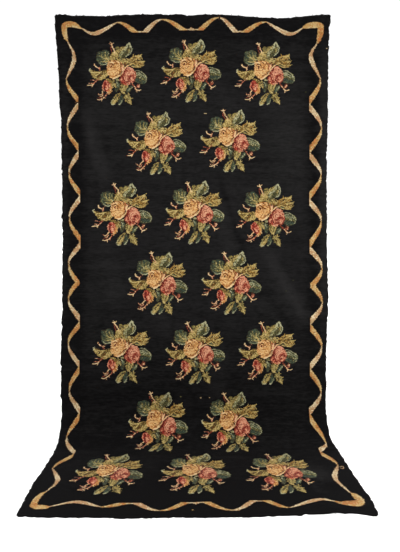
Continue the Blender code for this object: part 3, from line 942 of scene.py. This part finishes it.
def inner_part(inside):
    """The stitches of a shape that are inside it on all four sides."""
    sides = [np.roll(inside, step, axis) for step in (1, -1) for axis in (0, 1)]
    return inside & np.all(sides, axis=0)


def paint(chart, u, v, shapes, unevenness):
    """Paints shapes into a chart whose stitches lie at u and v, each one over those before it."""
    for kind, sizes, ramp, shade, ripple in shapes:
        low, high = room(kind, sizes)
        here = (u >= low[0]) & (u <= high[0]) & (v >= low[1]) & (v <= high[1])
        rows, columns = np.nonzero(here.any(1))[0], np.nonzero(here.any(0))[0]
        if not len(rows):
            continue
        window = slice(rows[0], rows[-1] + 1), slice(columns[0], columns[-1] + 1)
        inside, along, aside, rim = FIELDS[kind](sizes, u[window], v[window])
        wools = RAMP_NUMBERS[ramp]
        tone = shade[0] + shade[1] * along + shade[2] * aside + shade[3] * rim**3 + unevenness[window]
        tone = tone + ripple[2] * np.sin(2 * pi * (ripple[0] * along + ripple[1] * rim))
        step = (np.clip(tone, 0, TOP_TONE) * len(wools)).astype(int)
        chart[window][inside] = wools[step[inside]]
        if ramp in LEAF_RAMPS and kind != "stroke":
            uneven = unevenness[window]
            dark = ~inner_part(inside) & (uneven > LEAF_LINE_GAPS) | (uneven < DARK_SPECK)
            chart[window][inside & dark] = WOOL_NUMBER["shadow"]


def cells(low, high):
    """The part of the chart between two corners (across, down), in metres."""
    columns = [round((x - CHART_LEFT) / STITCH) for x in (low[0], high[0])]
    rows = [round(x / STITCH) for x in (low[1], high[1])]
    rows = [min(max(r, 0), CHART_ROWS) for r in rows]
    return slice(*rows), slice(*columns)


def stitch_places(window):
    """The places across and down of the middles of the stitches in a window of the chart."""
    rows, columns = window
    across = CHART_LEFT + (np.arange(columns.start, columns.stop) + 0.5) * STITCH
    down = (np.arange(rows.start, rows.stop) + 0.5) * STITCH
    return np.meshgrid(across, down)


BOUQUET_HATCHING = 0.18
RIBBON_HATCHING = 0.15
STEPPED = 0.002  # how far the pattern's edges step sideways from one pair of rows to the next
# What makes each bouquet a little different: its lean, its tone and its waves, as height and length in mm
BOUQUET_LEAN = 0.02
BOUQUET_TONE = 0.03
WAVES_ACROSS = ((2.2, 31), (1.5, 13))
WAVES_DOWN = ((2.2, 29), (1.5, 12))


def steps(shape, rng):
    """How far each stitch of a window moves sideways, by pairs of rows."""
    return STEPPED * patches(shape, (2, shape[1]), rng)


def bouquet_window(middle):
    low = np.subtract(middle, BOUQUET_HALF)
    high = np.add(middle, BOUQUET_HALF)
    return cells(low, high)


def paint_bouquet(chart, middle, rng):
    """Paints one bouquet, drawn a little differently each time, as a weaver's eye does."""
    window = bouquet_window(middle)
    across, down = stitch_places(window)
    u, v = (across - middle[0]) * MILLIMETRES, (middle[1] - down) * MILLIMETRES
    phases = rng.uniform(0, 2 * pi, 4)
    lean = rng.uniform(-BOUQUET_LEAN, BOUQUET_LEAN)
    u, v = u + lean * v, v - lean * u
    for (height, length), phase in zip(WAVES_ACROSS, phases[:2], strict=True):
        u = u + height * np.sin(v / length + phase)
    u = u + MILLIMETRES * steps(u.shape, rng)
    for (height, length), phase in zip(WAVES_DOWN, phases[2:], strict=True):
        v = v + height * np.sin(u / length + phase)
    uneven = BOUQUET_HATCHING * hatching(u.shape, rng) + rng.uniform(-BOUQUET_TONE, BOUQUET_TONE)
    paint(chart[window], u, v, BOUQUET, uneven)


EVERYWHERE = np.array([(-9, -9), (9, 9)], float)  # a box that cuts nothing off


def strand(outer, inner, upright, meeting):
    """A strand from a pinched outer turn past its inner turn, and the box that cuts it off blunt."""
    inwards, along = (0, 1) if upright else (1, 0)
    start, end = np.array(outer), np.array(inner)
    limit = end[inwards] + np.sign(end - start)[inwards] * INNER_MARGIN
    end[along] -= np.sign(end - start)[along] * meeting
    share = np.linspace(0, 1, len(STRAND_WIDTHS) - 1)
    points = start + (end - start) * share[:, None]
    sway = (1 - np.cos(STRAND_BEND * share)) / (1 - cos(STRAND_BEND))
    points[:, inwards] = start[inwards] + (end - start)[inwards] * sway
    points = np.vstack([points, 2 * points[-1] - points[-2]])
    low, high = EVERYWHERE.copy()
    (high if limit > start[inwards] else low)[inwards] = limit
    return points, STRAND_WIDTHS, (low, high)


def middle_piece(above, turn, below):
    """The piece round the middle turn of an upright side."""
    first, last = (strand(outer, turn, True, 0)[0][:-1] for outer in (above, below))
    widths = STRAND_WIDTHS[:-1]
    return "ochre", np.vstack([first, last[-2::-1]]), widths + widths[-2::-1], EVERYWHERE


def side_pieces(turns, upright):
    """One side of the ribbon: a long pale piece at each end, and strands of two colours by turns between."""
    long_pieces = turns[:3], turns[-3:][::-1]
    pieces = [("pale", points, LONG_PIECE_WIDTHS, EVERYWHERE) for points in long_pieces]
    if upright:
        pieces.append(middle_piece(*turns[MIDDLE_TURN - 1 : MIDDLE_TURN + 2]))
    last = len(turns) - 1
    # No strands where the middle piece is, or in the middle gap, which one of RIBBON_BITS bridges
    no_strand = (MIDDLE_TURN - 1, MIDDLE_TURN) if upright else (last // 2,)
    for i in range(2, last - 2):
        if i in no_strand:
            continue
        outer, inner = turns[i : i + 2] if min(i, last - i) % 2 == 0 else turns[i : i + 2][::-1]
        ramp = "ochre" if min(i, last - 1 - i) % 2 == 0 else "pale"
        pieces.append((ramp, *strand(outer, inner, upright, SIDE_MEETING if upright else END_MEETING)))
        if not upright and i > 2 and inner is turns[i]:
            pieces.append(("pale", thread_at(inner), THREAD_WIDTHS, EVERYWHERE))
    return pieces


def thread_at(turn):
    """The thread between the blunt ends of two strands."""
    return [(turn[0] - THREAD_HALF, turn[1]), (turn[0] + THREAD_HALF, turn[1])]


def ribbon_pieces():
    """All pieces of the ribbon: their colours, points, widths and the box that each stays in."""
    pieces = []
    for turns, upright, breadth in RIBBON_SIDES:
        side = side_pieces(turns, upright)
        pieces += [(ramp, points, np.multiply(widths, breadth), box) for ramp, points, widths, box in side]
    pieces += [("ochre", points, widths, EVERYWHERE) for points, widths in CORNERS]
    pieces += [(ramp, points, widths, EVERYWHERE) for points, widths, ramp in RIBBON_BITS]
    return pieces


RIBBON_PIECES = ribbon_pieces()
# The shade of each ribbon colour: its level, along it and at its rim, and the strength of its waves
RIBBON_SHADES = {
    "ochre": (0.48, -0.06, 0.22, 0.16),
    "pale": (0.48, 0, 0.32, 0.20),
    "ground": (0, 0, 0, 0),
}
RIBBON_LEAN = 0.22  # one side of a piece is up to this much lighter than the middle
RIBBON_WAVES = (1, 2.5)  # the fewest and most waves of shade along a piece


def paint_ribbon(chart, rng):
    """Paints the border ribbon, its thin dark outline first."""
    for outline in (RIBBON_OUTLINE, 0):
        for ramp, points, widths, (low, high) in RIBBON_PIECES:
            level, along, rim, strength = RIBBON_SHADES[ramp]
            shade = level, along, rng.uniform(-RIBBON_LEAN, RIBBON_LEAN), rim
            ripple = rng.uniform(*RIBBON_WAVES), 0, strength
            colour = "ribbon_edge" if outline else ramp
            made = band(points, np.add(widths, outline), colour, *shade, ripple=ripple)
            near = room("stroke", made[1])
            margin = outline / 2
            window = cells(np.maximum(near[0], low - margin), np.minimum(near[1], high + margin))
            across, down = stitch_places(window)
            uneven = RIBBON_HATCHING * hatching(across.shape, rng)
            paint(chart[window], across + steps(across.shape, rng), down, [made], uneven)


def stray_chart():
    """A chart of the stray stitches alone."""
    chart = np.full((CHART_ROWS, CHART_COLUMNS), GROUND)
    for (across, down), length, wool in STRAYS:
        row, column = round(down / STITCH), round((across - CHART_LEFT) / STITCH)
        chart[row : row + 2, column : column + round(length / STITCH)] = WOOL_NUMBER[wool]
    return chart


CHART_SEED = 11


def whole_chart():
    """The chart of the whole kilim: the number of a wool for each stitch, or GROUND."""
    rng = np.random.default_rng(CHART_SEED)
    chart = np.full((CHART_ROWS, CHART_COLUMNS), GROUND)
    paint_ribbon(chart, rng)
    for middles in BOUQUETS.values():
        for middle in middles:
            paint_bouquet(chart, middle, rng)
    return chart


def linear(colour):
    """An sRGB colour as scene-linear values."""
    c = np.asarray(colour, float) / 255
    return np.where(c <= 0.04045, c / 12.92, ((c + 0.055) / 1.055) ** 2.4)


# The light in this scene brightens a pale surface by about this much, so the wools are that much darker
LIGHT_GAIN = 1.63
WOOL_COLOURS = np.array([linear(c) / LIGHT_GAIN for c in WOOLS.values()])


def new_object(name, vertices, faces):
    """A smooth mesh of four-sided faces."""
    mesh = bpy.data.meshes.new(name)
    mesh.vertices.add(len(vertices))
    mesh.vertices.foreach_set("co", np.asarray(vertices, np.float32).ravel())
    mesh.loops.add(faces.size)
    mesh.loops.foreach_set("vertex_index", faces.astype(np.int32).ravel())
    mesh.polygons.add(len(faces))
    mesh.polygons.foreach_set("loop_start", np.arange(0, faces.size, 4, dtype=np.int32))
    mesh.polygons.foreach_set("use_smooth", np.ones(len(faces), bool))
    mesh.update(calc_edges=True)
    mesh.validate()
    made = bpy.data.objects.new(name, mesh)
    bpy.context.collection.objects.link(made)
    return made


def set_map(made, name, corners):
    """Adds a UV map from one pair of values per face corner."""
    layer = made.data.uv_layers.new(name=name)
    layer.data.foreach_set("uv", np.asarray(corners, np.float32).ravel())


def cloth_piece():
    """The black ground: front and back faces joined round the rim."""
    count = (ROWS + 1) * (COLUMNS + 1)
    number = np.arange(count).reshape(ROWS + 1, COLUMNS + 1)
    quads = np.stack([number[:-1, :-1], number[1:, :-1], number[1:, 1:], number[:-1, 1:]], axis=-1)
    quads = quads.reshape(-1, 4)
    loop = np.concatenate([number[0, :-1], number[:-1, -1], number[-1, :0:-1], number[:0:-1, 0]])
    after = np.roll(loop, -1)
    rim = np.stack([loop, after, after + count, loop + count], axis=-1)
    faces = np.vstack([quads, quads[:, ::-1] + count, rim])
    vertices = np.vstack([FACES["front"].reshape(-1, 3), FACES["back"].reshape(-1, 3)])
    made = new_object("kilim_ground", vertices, faces)
    places = np.stack([ACROSS.ravel(), -DOWN.ravel()], axis=-1)
    set_map(made, "Cloth", np.vstack([places, places])[faces.ravel()])
    return made


YARN_SEED = 31
YARN_COUNT = 240
YARN_SHARES = (0.3, 0.3, 0.2, 0.2)  # of them at the left, right, top and bottom edge
YARN_LENGTH = (0.004, 0.015)
YARN_ROOT = 0.002  # how far inside the edge a yarn end starts
YARN_ASIDE = 0.8  # of its length that its tip bends aside, at most
YARN_LIFT = 0.5  # and away from the cloth
YARN_HALF = 0.0008  # half as thick as a yarn
YARN_SWELL = 1.2  # times that at its root, and 1 less at its tip
YARN_JOINTS = 4


def yarn_end(across, down, outward, rng):
    """The thin four-sided tube of one yarn end, which leaves the cloth's edge and bends aside."""
    share = np.linspace(0, 1, YARN_JOINTS)
    length = rng.uniform(*YARN_LENGTH)
    out = length * share - YARN_ROOT
    aside = length * rng.uniform(-YARN_ASIDE, YARN_ASIDE) * share**2
    lift = length * rng.uniform(0, YARN_LIFT) * share**2
    half = YARN_HALF * (YARN_SWELL - share)
    run = np.array(outward, float)
    rings = []
    for side, up in ((-1, -1), (1, -1), (1, 1), (-1, 1)):
        x = across + run[0] * out + run[1] * (aside + side * half)
        y = down + run[1] * out + run[0] * (aside + side * half)
        rings.append(place(x, y, lift + up * half))
    return np.stack(rings, axis=1).reshape(-1, 3)


def edge_yarns():
    """Short ends of the black yarn that stand out all round the cloth."""
    rng = np.random.default_rng(YARN_SEED)
    edges = [
        (ACROSS[:, 0], DOWN[:, 0], (-1, 0)),
        (ACROSS[:, -1], DOWN[:, -1], (1, 0)),
        (ACROSS[0], DOWN[0], (0, -1)),
        (ACROSS[-1], DOWN[-1], (0, 1)),
    ]
    tubes = []
    for _ in range(YARN_COUNT):
        across, down, outward = edges[rng.choice(len(edges), p=YARN_SHARES)]
        k = rng.integers(2, len(across) - 2)
        tubes.append(yarn_end(across[k], down[k], outward, rng))
    joint = np.arange(YARN_JOINTS - 1)[:, None] * 4
    corner = np.arange(4)
    sides = np.stack([joint + corner, joint + (corner + 1) % 4], axis=-1)
    quads = np.concatenate([sides, sides[:, :, ::-1] + 4], axis=-1).reshape(-1, 4)
    quads = np.vstack([quads, [[4 * YARN_JOINTS - k for k in (1, 2, 3, 4)]]])
    faces = np.vstack([quads + 4 * YARN_JOINTS * n for n in range(YARN_COUNT)])
    made = new_object("edge_yarns", np.vstack(tubes), faces)
    set_map(made, "Cloth", np.zeros((faces.size, 2)))
    return made


def runs_in(part):
    """The coloured runs in a part of the chart: their rows, first columns, columns after them and wools."""
    edge = np.full((part.shape[0], 1), GROUND - 1)
    left = np.hstack([edge, part[:, :-1]])
    right = np.hstack([part[:, 1:], edge])
    column = np.arange(part.shape[1])
    woven = part != GROUND
    starts = woven & ((left != part) | (column % LONGEST_RUN == 0))
    ends = woven & ((right != part) | (column % LONGEST_RUN == LONGEST_RUN - 1))
    row, first = np.nonzero(starts)
    last = np.nonzero(ends)[1]
    return row, first, last + 1, part[row, first]


COLOUR_SEED = 23
DYE_SPREAD = 0.05  # how unlike in colour the runs of one wool are
ROWS_IN_RUN = {"front": 1, "back": 2}  # how many rows of stitches a coloured run is high
TILE_MARGIN = 0.02  # of a tile of the bake map, kept clear round its edge


def in_tile(rows, columns, size, tile, tiles):
    """Places in one tile of the bake map, for rows and columns of a window of some size."""
    corner = tile % tiles[0] / tiles[0], tile // tiles[0] / tiles[1]
    share = np.stack([columns / size[1], 1 - rows / size[0]], axis=-1)
    share = TILE_MARGIN + (1 - 2 * TILE_MARGIN) * share
    return np.array(corner) + share / np.array(tiles)


def woven_part(chart, window, face, tile, tiles, rng):
    """The coloured runs of a window of the chart on one face of the cloth: their points and four-sided faces,
    then the faces' corners in the bake map and on the flat cloth, and their colours.
    """
    height, width = (s.stop - s.start for s in window)
    step = ROWS_IN_RUN[face]
    row, first, last, wool = runs_in(chart[window][::step])
    top, bottom = row * step, np.minimum(row * step + step, height)
    rows = np.stack([top, bottom, bottom, top], axis=-1)
    columns = np.stack([first, first, last, last], axis=-1)
    colours = WOOL_COLOURS[wool] * rng.normal(1, DYE_SPREAD, (len(wool), 1))
    used, faces = np.unique(rows * (width + 1) + columns, return_inverse=True)
    faces = faces.reshape(-1, 4)
    across = CHART_LEFT + (window[1].start + used % (width + 1)) * STITCH
    down = (window[0].start + used // (width + 1)) * STITCH
    baked = in_tile(rows, columns, (height, width), tile, tiles)
    places = np.stack([across, -down], axis=-1)[faces]
    if face == "back":
        faces, baked, places = faces[:, ::-1], baked[:, ::-1], places[:, ::-1]
    return on_cloth(across, down, face), faces, baked, places, colours


def woven_piece(name, chart, windows, tiles, rng):
    """A piece made of the coloured runs of some windows, with two tiles of its bake map for each window."""
    parts = []
    for n, window in enumerate(windows):
        for side, face in enumerate(FACES):
            parts.append(woven_part(chart, window, face, 2 * n + side, tiles, rng))
    points, faces, baked, places, colours = zip(*parts, strict=True)
    offsets = np.cumsum([0] + [len(p) for p in points[:-1]])
    faces = np.vstack([f + offset for f, offset in zip(faces, offsets, strict=True)])
    made = new_object(name, np.vstack(points), faces)
    set_map(made, "Cloth", np.vstack(places))
    set_map(made, "OFBake", np.vstack(baked))
    corners = np.ones((len(faces), 4, 4), np.float32)
    corners[:, :, :3] = np.vstack(colours)[:, None, :]
    layer = made.data.color_attributes.new("wool", "FLOAT_COLOR", "CORNER")
    layer.data.foreach_set("color", corners.ravel())
    return made


def strips(low, high, upright):
    """Windows that part a long box into equal lengths."""
    axis = 1 if upright else 0
    cuts = np.linspace(low[axis], high[axis], STRIP_COUNT + 1)
    made = []
    for start, end in zip(cuts, cuts[1:], strict=False):
        a, b = list(low), list(high)
        a[axis], b[axis] = start, end
        made.append(cells(a, b))
    return made


# The ribbon's parts of the chart: how far across its sides lie, and where they start and end down the cloth
LEFT_STRIP = (-0.93, -0.745)
RIGHT_STRIP = (0.79, 0.96)
SIDES_DOWN = (0.15, 3.575)
STRIP_COUNT = 4  # windows along each side
STRAY_ROOM = (0.02, 0.04)  # of the chart before and after the start of a stray stitch
STRAY_TILES = (5, 4)  # of their bake map, across and up


def ribbon_windows():
    """Each side's windows of the chart, and the tiles of its bake map across and up."""
    (left, left_inner), (right_inner, right) = LEFT_STRIP, RIGHT_STRIP
    top, bottom = SIDES_DOWN
    tiles = 2 * STRIP_COUNT
    return {
        "left": (strips((left, top), (left_inner, bottom), True), (tiles, 1)),
        "right": (strips((right_inner, top), (right, bottom), True), (tiles, 1)),
        "top": (strips((left, 0), (right, top), False), (1, tiles)),
        "bottom": (strips((left, bottom), (right, LENGTH), False), (1, tiles)),
    }


def woven_pieces():
    """All coloured parts of the weave."""
    chart = whole_chart()
    rng = np.random.default_rng(COLOUR_SEED)
    made = []
    for name, middles in BOUQUETS.items():
        windows = [bouquet_window(m) for m in middles]
        made.append(woven_piece(f"bouquets_{name}", chart, windows, (len(windows), 2), rng))
    for name, (windows, tiles) in ribbon_windows().items():
        made.append(woven_piece(f"ribbon_{name}", chart, windows, tiles, rng))
    before, after = STRAY_ROOM
    near = [cells(np.subtract(p, before), np.add(p, after)) for p, _, _ in STRAYS]
    made.append(woven_piece("stray_stitches", stray_chart(), near, STRAY_TILES, rng))
    return made


def add_node(tree, kind, inputs=(), **settings):
    """A shader node, with its settings and the values or links of its inputs, by name or number."""
    made = tree.nodes.new(kind)
    for name, value in settings.items():
        setattr(made, name, value)
    for name, value in dict(inputs).items():
        if isinstance(value, bpy.types.NodeSocket):
            tree.links.new(value, made.inputs[name])
        else:
            made.inputs[name].default_value = value
    return made


def reckon(tree, operation, *values, **settings):
    """The outcome of a Math node."""
    return add_node(tree, "ShaderNodeMath", enumerate(values), operation=operation, **settings).outputs[0]


def map_range(tree, value, source, target, **settings):
    """A value, moved from one range of numbers to another."""
    inputs = (value, *source, *target)
    return add_node(tree, "ShaderNodeMapRange", enumerate(inputs), **settings).outputs[0]


def mixed(tree, share, first, second, **settings):
    """One colour with another mixed in."""
    inputs = {"Factor": share, "A": first, "B": second}
    return add_node(tree, "ShaderNodeMix", inputs, data_type="RGBA", **settings).outputs["Result"]


def new_material(name, finish):
    """A material, with the plain values of its shader."""
    made = bpy.data.materials.new(name)
    made.use_nodes = True
    tree = made.node_tree
    shader = tree.nodes["Principled BSDF"]
    for socket, value in finish.items():
        shader.inputs[socket].default_value = value
    return made, tree, shader


def grey(value):
    return value, value, value, 1


def scaled_map(tree, scale):
    """The cloth's own coordinates in metres, scaled across and down."""
    source = add_node(tree, "ShaderNodeUVMap", uv_map="Cloth").outputs[0]
    return add_node(tree, "ShaderNodeMapping", {"Vector": source, "Scale": (*scale, 1)}).outputs[0]


def streaks(tree, scale, detail=3.0):
    """Noise drawn out along the wefts."""
    inputs = {"Vector": scaled_map(tree, scale), "Scale": 1.0, "Detail": detail}
    return add_node(tree, "ShaderNodeTexNoise", inputs).outputs["Fac"]


# The weave: floats of the weft two stitches wide, with a darker line round each
FLOAT_GAP = 0.0006
FLOAT_TONES = (0.8, 1)
GAP_TONE = 0.45
SLUBS = (60, 300)  # the scale of the yarn's own thick places, across and down
SLUB_SHARE = 0.8  # of the height of a float
WEAVE_HEIGHT = 0.0006
WEAVE_STRENGTH = 0.6


def weave(tree):
    """The weft-faced weave: rounded floats in rows, each row half a float on from the last."""
    inputs = {
        "Vector": scaled_map(tree, (1, 1)),
        "Scale": 1.0,
        "Mortar Size": FLOAT_GAP,
        "Mortar Smooth": 1.0,
        "Brick Width": 2 * STITCH,
        "Row Height": STITCH,
        "Color1": grey(FLOAT_TONES[0]),
        "Color2": grey(FLOAT_TONES[1]),
        "Mortar": grey(GAP_TONE),
    }
    return add_node(tree, "ShaderNodeTexBrick", inputs).outputs


def weave_bump(tree, shader, stitches):
    """Raises the floats and the yarn's slubs."""
    height = reckon(tree, "SUBTRACT", 1.0, stitches["Fac"])
    height = reckon(tree, "MULTIPLY_ADD", streaks(tree, SLUBS), SLUB_SHARE, height)
    inputs = {"Height": height, "Distance": WEAVE_HEIGHT, "Strength": WEAVE_STRENGTH}
    bump = add_node(tree, "ShaderNodeBump", inputs)
    tree.links.new(bump.outputs[0], shader.inputs["Normal"])


# The black ground: its own colour, and its palest, where the paler interior and the painted sheen take it
BLACK = (0.0032, 0.0030, 0.0031, 1)
PALEST_GROUND = (0.0184, 0.0177, 0.0174, 1)
FINEST_STREAKS = (3.0, 260.0)  # scale across and down
OTHER_STREAKS = (((0.9, 16.0), 1.3), ((26.0, 90.0), 2.2), ((9.0, 30.0), 1.4))  # the same, then their weight
STREAK_SUMS = (2.35, 3.55)  # what the streaks come to where they're darkest and lightest
STREAK_PALENESS = (-0.24, 0.24)  # and how much they add to the paleness and painted sheen there
GROUND_DEPTH = 0.5  # how strongly the weave darkens the colour
GROUND_FINISH = {
    "Roughness": 0.92,
    "Specular IOR Level": 0.03,
    "Sheen Weight": 0.01,
    "Sheen Roughness": 0.45,
}


def black_wool():
    """The black ground: streaks along the wefts, painted sheen and shade on the folds, and a dull sheen."""
    made, tree, shader = new_material("black_wool", GROUND_FINISH)
    tone = streaks(tree, FINEST_STREAKS)
    for scale, weight in OTHER_STREAKS:
        tone = reckon(tree, "MULTIPLY_ADD", streaks(tree, scale, 2.0), weight, tone)
    uneven = map_range(tree, tone, STREAK_SUMS, STREAK_PALENESS)
    # The paler interior and the painted sheen and shade on the folds, read from the cloth
    pale_and_sheen = add_node(tree, "ShaderNodeAttribute", attribute_name="paleness_and_painted_sheen").outputs["Fac"]
    weighting = reckon(tree, "ADD", uneven, pale_and_sheen, use_clamp=True)
    colour = mixed(tree, weighting, BLACK, PALEST_GROUND)
    stitches = weave(tree)
    shaded = mixed(tree, GROUND_DEPTH, colour, stitches["Color"], blend_type="MULTIPLY")
    tree.links.new(shaded, shader.inputs["Base Color"])
    weave_bump(tree, shader, stitches)
    return made


# The coloured wools
DYE_STREAKS = (25.0, 350.0)  # scale across and down
DYE_RANGE = (0.3, 0.7)  # most of the noise lies in this range
DYE_TONES = (0.86, 1.12)  # and makes the dye this much darker or lighter
DYED_DEPTH = 0.35  # how strongly the weave darkens the colour
DYED_FINISH = {
    "Roughness": 0.85,
    "Specular IOR Level": 0.15,
    "Sheen Weight": 0.04,
    "Sheen Roughness": 0.5,
}


def dyed_wool():
    """The coloured wools, uneven in their dye along each row."""
    made, tree, shader = new_material("dyed_wool", DYED_FINISH)
    dye = add_node(tree, "ShaderNodeVertexColor", layer_name="wool").outputs["Color"]
    uneven = map_range(tree, streaks(tree, DYE_STREAKS), DYE_RANGE, DYE_TONES)
    streaked = mixed(tree, 1.0, dye, uneven, blend_type="MULTIPLY")
    stitches = weave(tree)
    shaded = mixed(tree, DYED_DEPTH, streaked, stitches["Color"], blend_type="MULTIPLY")
    tree.links.new(shaded, shader.inputs["Base Color"])
    weave_bump(tree, shader, stitches)
    return made


# The studio, all but the cloth
FLOOR_SIZE = 120
FLOOR_GAP = 0.0003  # between the floor and the cloth
FLOOR_FINISH = {
    "Base Color": (0.9, 0.9, 0.9, 1),
    "Emission Color": (1, 1, 1, 1),
    "Emission Strength": 0.06,
    "Roughness": 0.9,
    "Specular IOR Level": 0.1,
}
LAMP_AIM = (0, 0, -2.1)
LAMP_SIZE = 1.4
LAMPS = {"left_lamp": ((-2.6, -2.8, -2.1), 8), "right_lamp": ((2.4, -2.7, -2.2), 48)}  # place and power
# The world's brightness changes over some part of the way from the front to the back, and gains overhead
BACK_RANGE = (-0.2, 0.6)
BACK_LIGHT = (0.75, 1.1)
TOP_RANGE = (0.75, 1.0)
TOP_LIGHT = (0.0, 5.0)
CAMERA_PLACE = (0.0546, -3.332, -1.398)
CAMERA_LENS = 31.04
CAMERA_SENSOR = 36
CAMERA_SHIFT = -0.1105


def floor():
    """A wide pale studio floor."""
    height = FLOOR_Z - THICKNESS / 2 - FLOOR_GAP
    bpy.ops.mesh.primitive_plane_add(size=FLOOR_SIZE, location=(0, 0, height))
    made = bpy.context.object
    made.name = "studio_floor"
    made.data.materials.append(new_material("pale_floor", FLOOR_FINISH)[0])


def soft_lamp(name, location, power):
    """A round lamp, which the camera doesn't see."""
    light = bpy.data.lights.new(name, "AREA")
    light.shape = "DISK"
    light.size = LAMP_SIZE
    light.energy = power
    made = bpy.data.objects.new(name, light)
    made.location = location
    made.rotation_euler = (Vector(LAMP_AIM) - Vector(location)).to_track_quat("-Z", "Y").to_euler()
    made.visible_camera = False
    bpy.context.collection.objects.link(made)


def studio_light():
    """Two soft lamps in front, the right one stronger, and a world that is brightest behind and above."""
    for name, (location, power) in LAMPS.items():
        soft_lamp(name, location, power)
    world = bpy.data.worlds.new("studio")
    bpy.context.scene.world = world
    world.use_nodes = True
    tree = world.node_tree
    way = add_node(tree, "ShaderNodeTexCoord").outputs["Generated"]
    parts = add_node(tree, "ShaderNodeSeparateXYZ", {0: way}).outputs
    behind = map_range(tree, parts["Y"], BACK_RANGE, BACK_LIGHT, interpolation_type="SMOOTHSTEP")
    above = map_range(tree, parts["Z"], TOP_RANGE, TOP_LIGHT, interpolation_type="SMOOTHSTEP")
    background = tree.nodes["Background"]
    tree.links.new(reckon(tree, "ADD", behind, above), background.inputs["Strength"])
    background.inputs["Color"].default_value = (1, 1, 1, 1)


def camera():
    """The photograph's view: level, at the height of the cloth's middle."""
    data = bpy.data.cameras.new("camera")
    data.lens = CAMERA_LENS
    data.sensor_width = CAMERA_SENSOR
    data.shift_y = CAMERA_SHIFT
    made = bpy.data.objects.new("camera", data)
    made.location = CAMERA_PLACE
    made.rotation_euler = (pi / 2, 0, 0)
    bpy.context.collection.objects.link(made)
    bpy.context.scene.camera = made


# Painted sheen on the ground, along the folds and where the light falls brighter, and painted shade where the
# amount is below nought, in the same terms as the folds, with how much in place of the rise
PAINTED_SHEEN_BANDS = {
    "left_diagonal": ((-0.79, 0.55), (-0.58, 1.25), 0.075, 0.30),
    "left_low": ((-0.62, 1.55), (-0.53, 2.10), 0.11, 0.16),
    "upper_middle": ((0.13, 0.40), (0.33, 0.72), 0.10, 0.12),
    "right_upper": ((0.60, 0.45), (0.70, 1.22), 0.21, 0.18),
    "middle_ridge": ((0.21, 1.22), (0.28, 1.86), 0.11, 0.22),
    "beside_ridge": ((0.17, 1.08), (0.40, 1.80), 0.035, -0.22),
    "right_diagonal": ((0.44, 1.56), (0.88, 2.24), 0.075, 0.34),
    "under_diagonal": ((0.40, 1.75), (0.80, 2.36), 0.05, -0.12),
    "middle_low": ((-0.24, 1.88), (-0.20, 2.30), 0.13, 0.14),
    "foot_middle": ((0.18, 2.22), (0.18, 2.78), 0.12, 0.16),
    "floor_right": ((0.56, 3.24), (0.86, 3.42), 0.14, 0.48),
    "right_border": ((0.925, -0.20), (0.925, 2.60), 0.07, 0.50),
    "left_border": ((-0.895, 0.00), (-0.895, 2.30), 0.06, 0.26),
    "floor_end": ((-2.40, 3.66), (2.40, 3.66), 0.45, -0.26),
    "floor_corner": ((0.66, 3.42), (0.79, 3.60), 0.06, 0.28),
    "floor_left": ((-0.82, 3.48), (-0.62, 3.48), 0.06, 0.14),
}
# Inside the ribbon the ground is lighter throughout: from left to right and top to bottom, how softly that
# starts, and how much by the distance down
INTERIOR = (-0.80, 0.86, 0.10, 3.64)
INTERIOR_EDGE = 0.10
INTERIOR_PALENESS = np.array([
    (0.00, 0.12),
    (0.60, 0.34),
    (2.00, 0.32),
    (2.50, 0.16),
    (2.80, 0.10),
    (3.30, 0.06),
    (LENGTH, 0.02),
])


def paleness_and_painted_sheen(across, down):
    """How pale the ground is, with its painted sheen and shade: 0 where it's black, and 1 at most."""
    left, right, top, bottom = INTERIOR
    inwards = np.minimum(across - left, right - across)
    inwards = np.minimum(inwards, np.minimum(down - top, bottom - down))
    interior = np.interp(down, INTERIOR_PALENESS[:, 0], INTERIOR_PALENESS[:, 1])
    return interior * smooth_step(inwards / INTERIOR_EDGE) + fold_height(across, down, PAINTED_SHEEN_BANDS)


def build():
    """Makes the cloth, its yarn ends and its pattern, and dresses them in wool."""
    ground = cloth_piece()
    # The ground's paleness with its painted sheen and shade, as a value at each point
    layer = ground.data.attributes.new("paleness_and_painted_sheen", "FLOAT", "POINT")
    pale_and_sheen = paleness_and_painted_sheen(ACROSS, DOWN).ravel()
    layer.data.foreach_set("value", np.concatenate([pale_and_sheen, pale_and_sheen]).astype(np.float32))
    ground.data.materials.append(black_wool())
    wool = dyed_wool()
    yarns = edge_yarns()
    yarns.data.materials.append(ground.data.materials[0])
    coloured = woven_pieces()
    for piece in coloured:
        piece.data.materials.append(wool)
    for piece in [ground, yarns, *coloured]:
        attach(piece, "root")
    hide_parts("kilim")


camera()
build()
floor()
studio_light()
bpy.context.scene.view_settings.view_transform = "Standard"
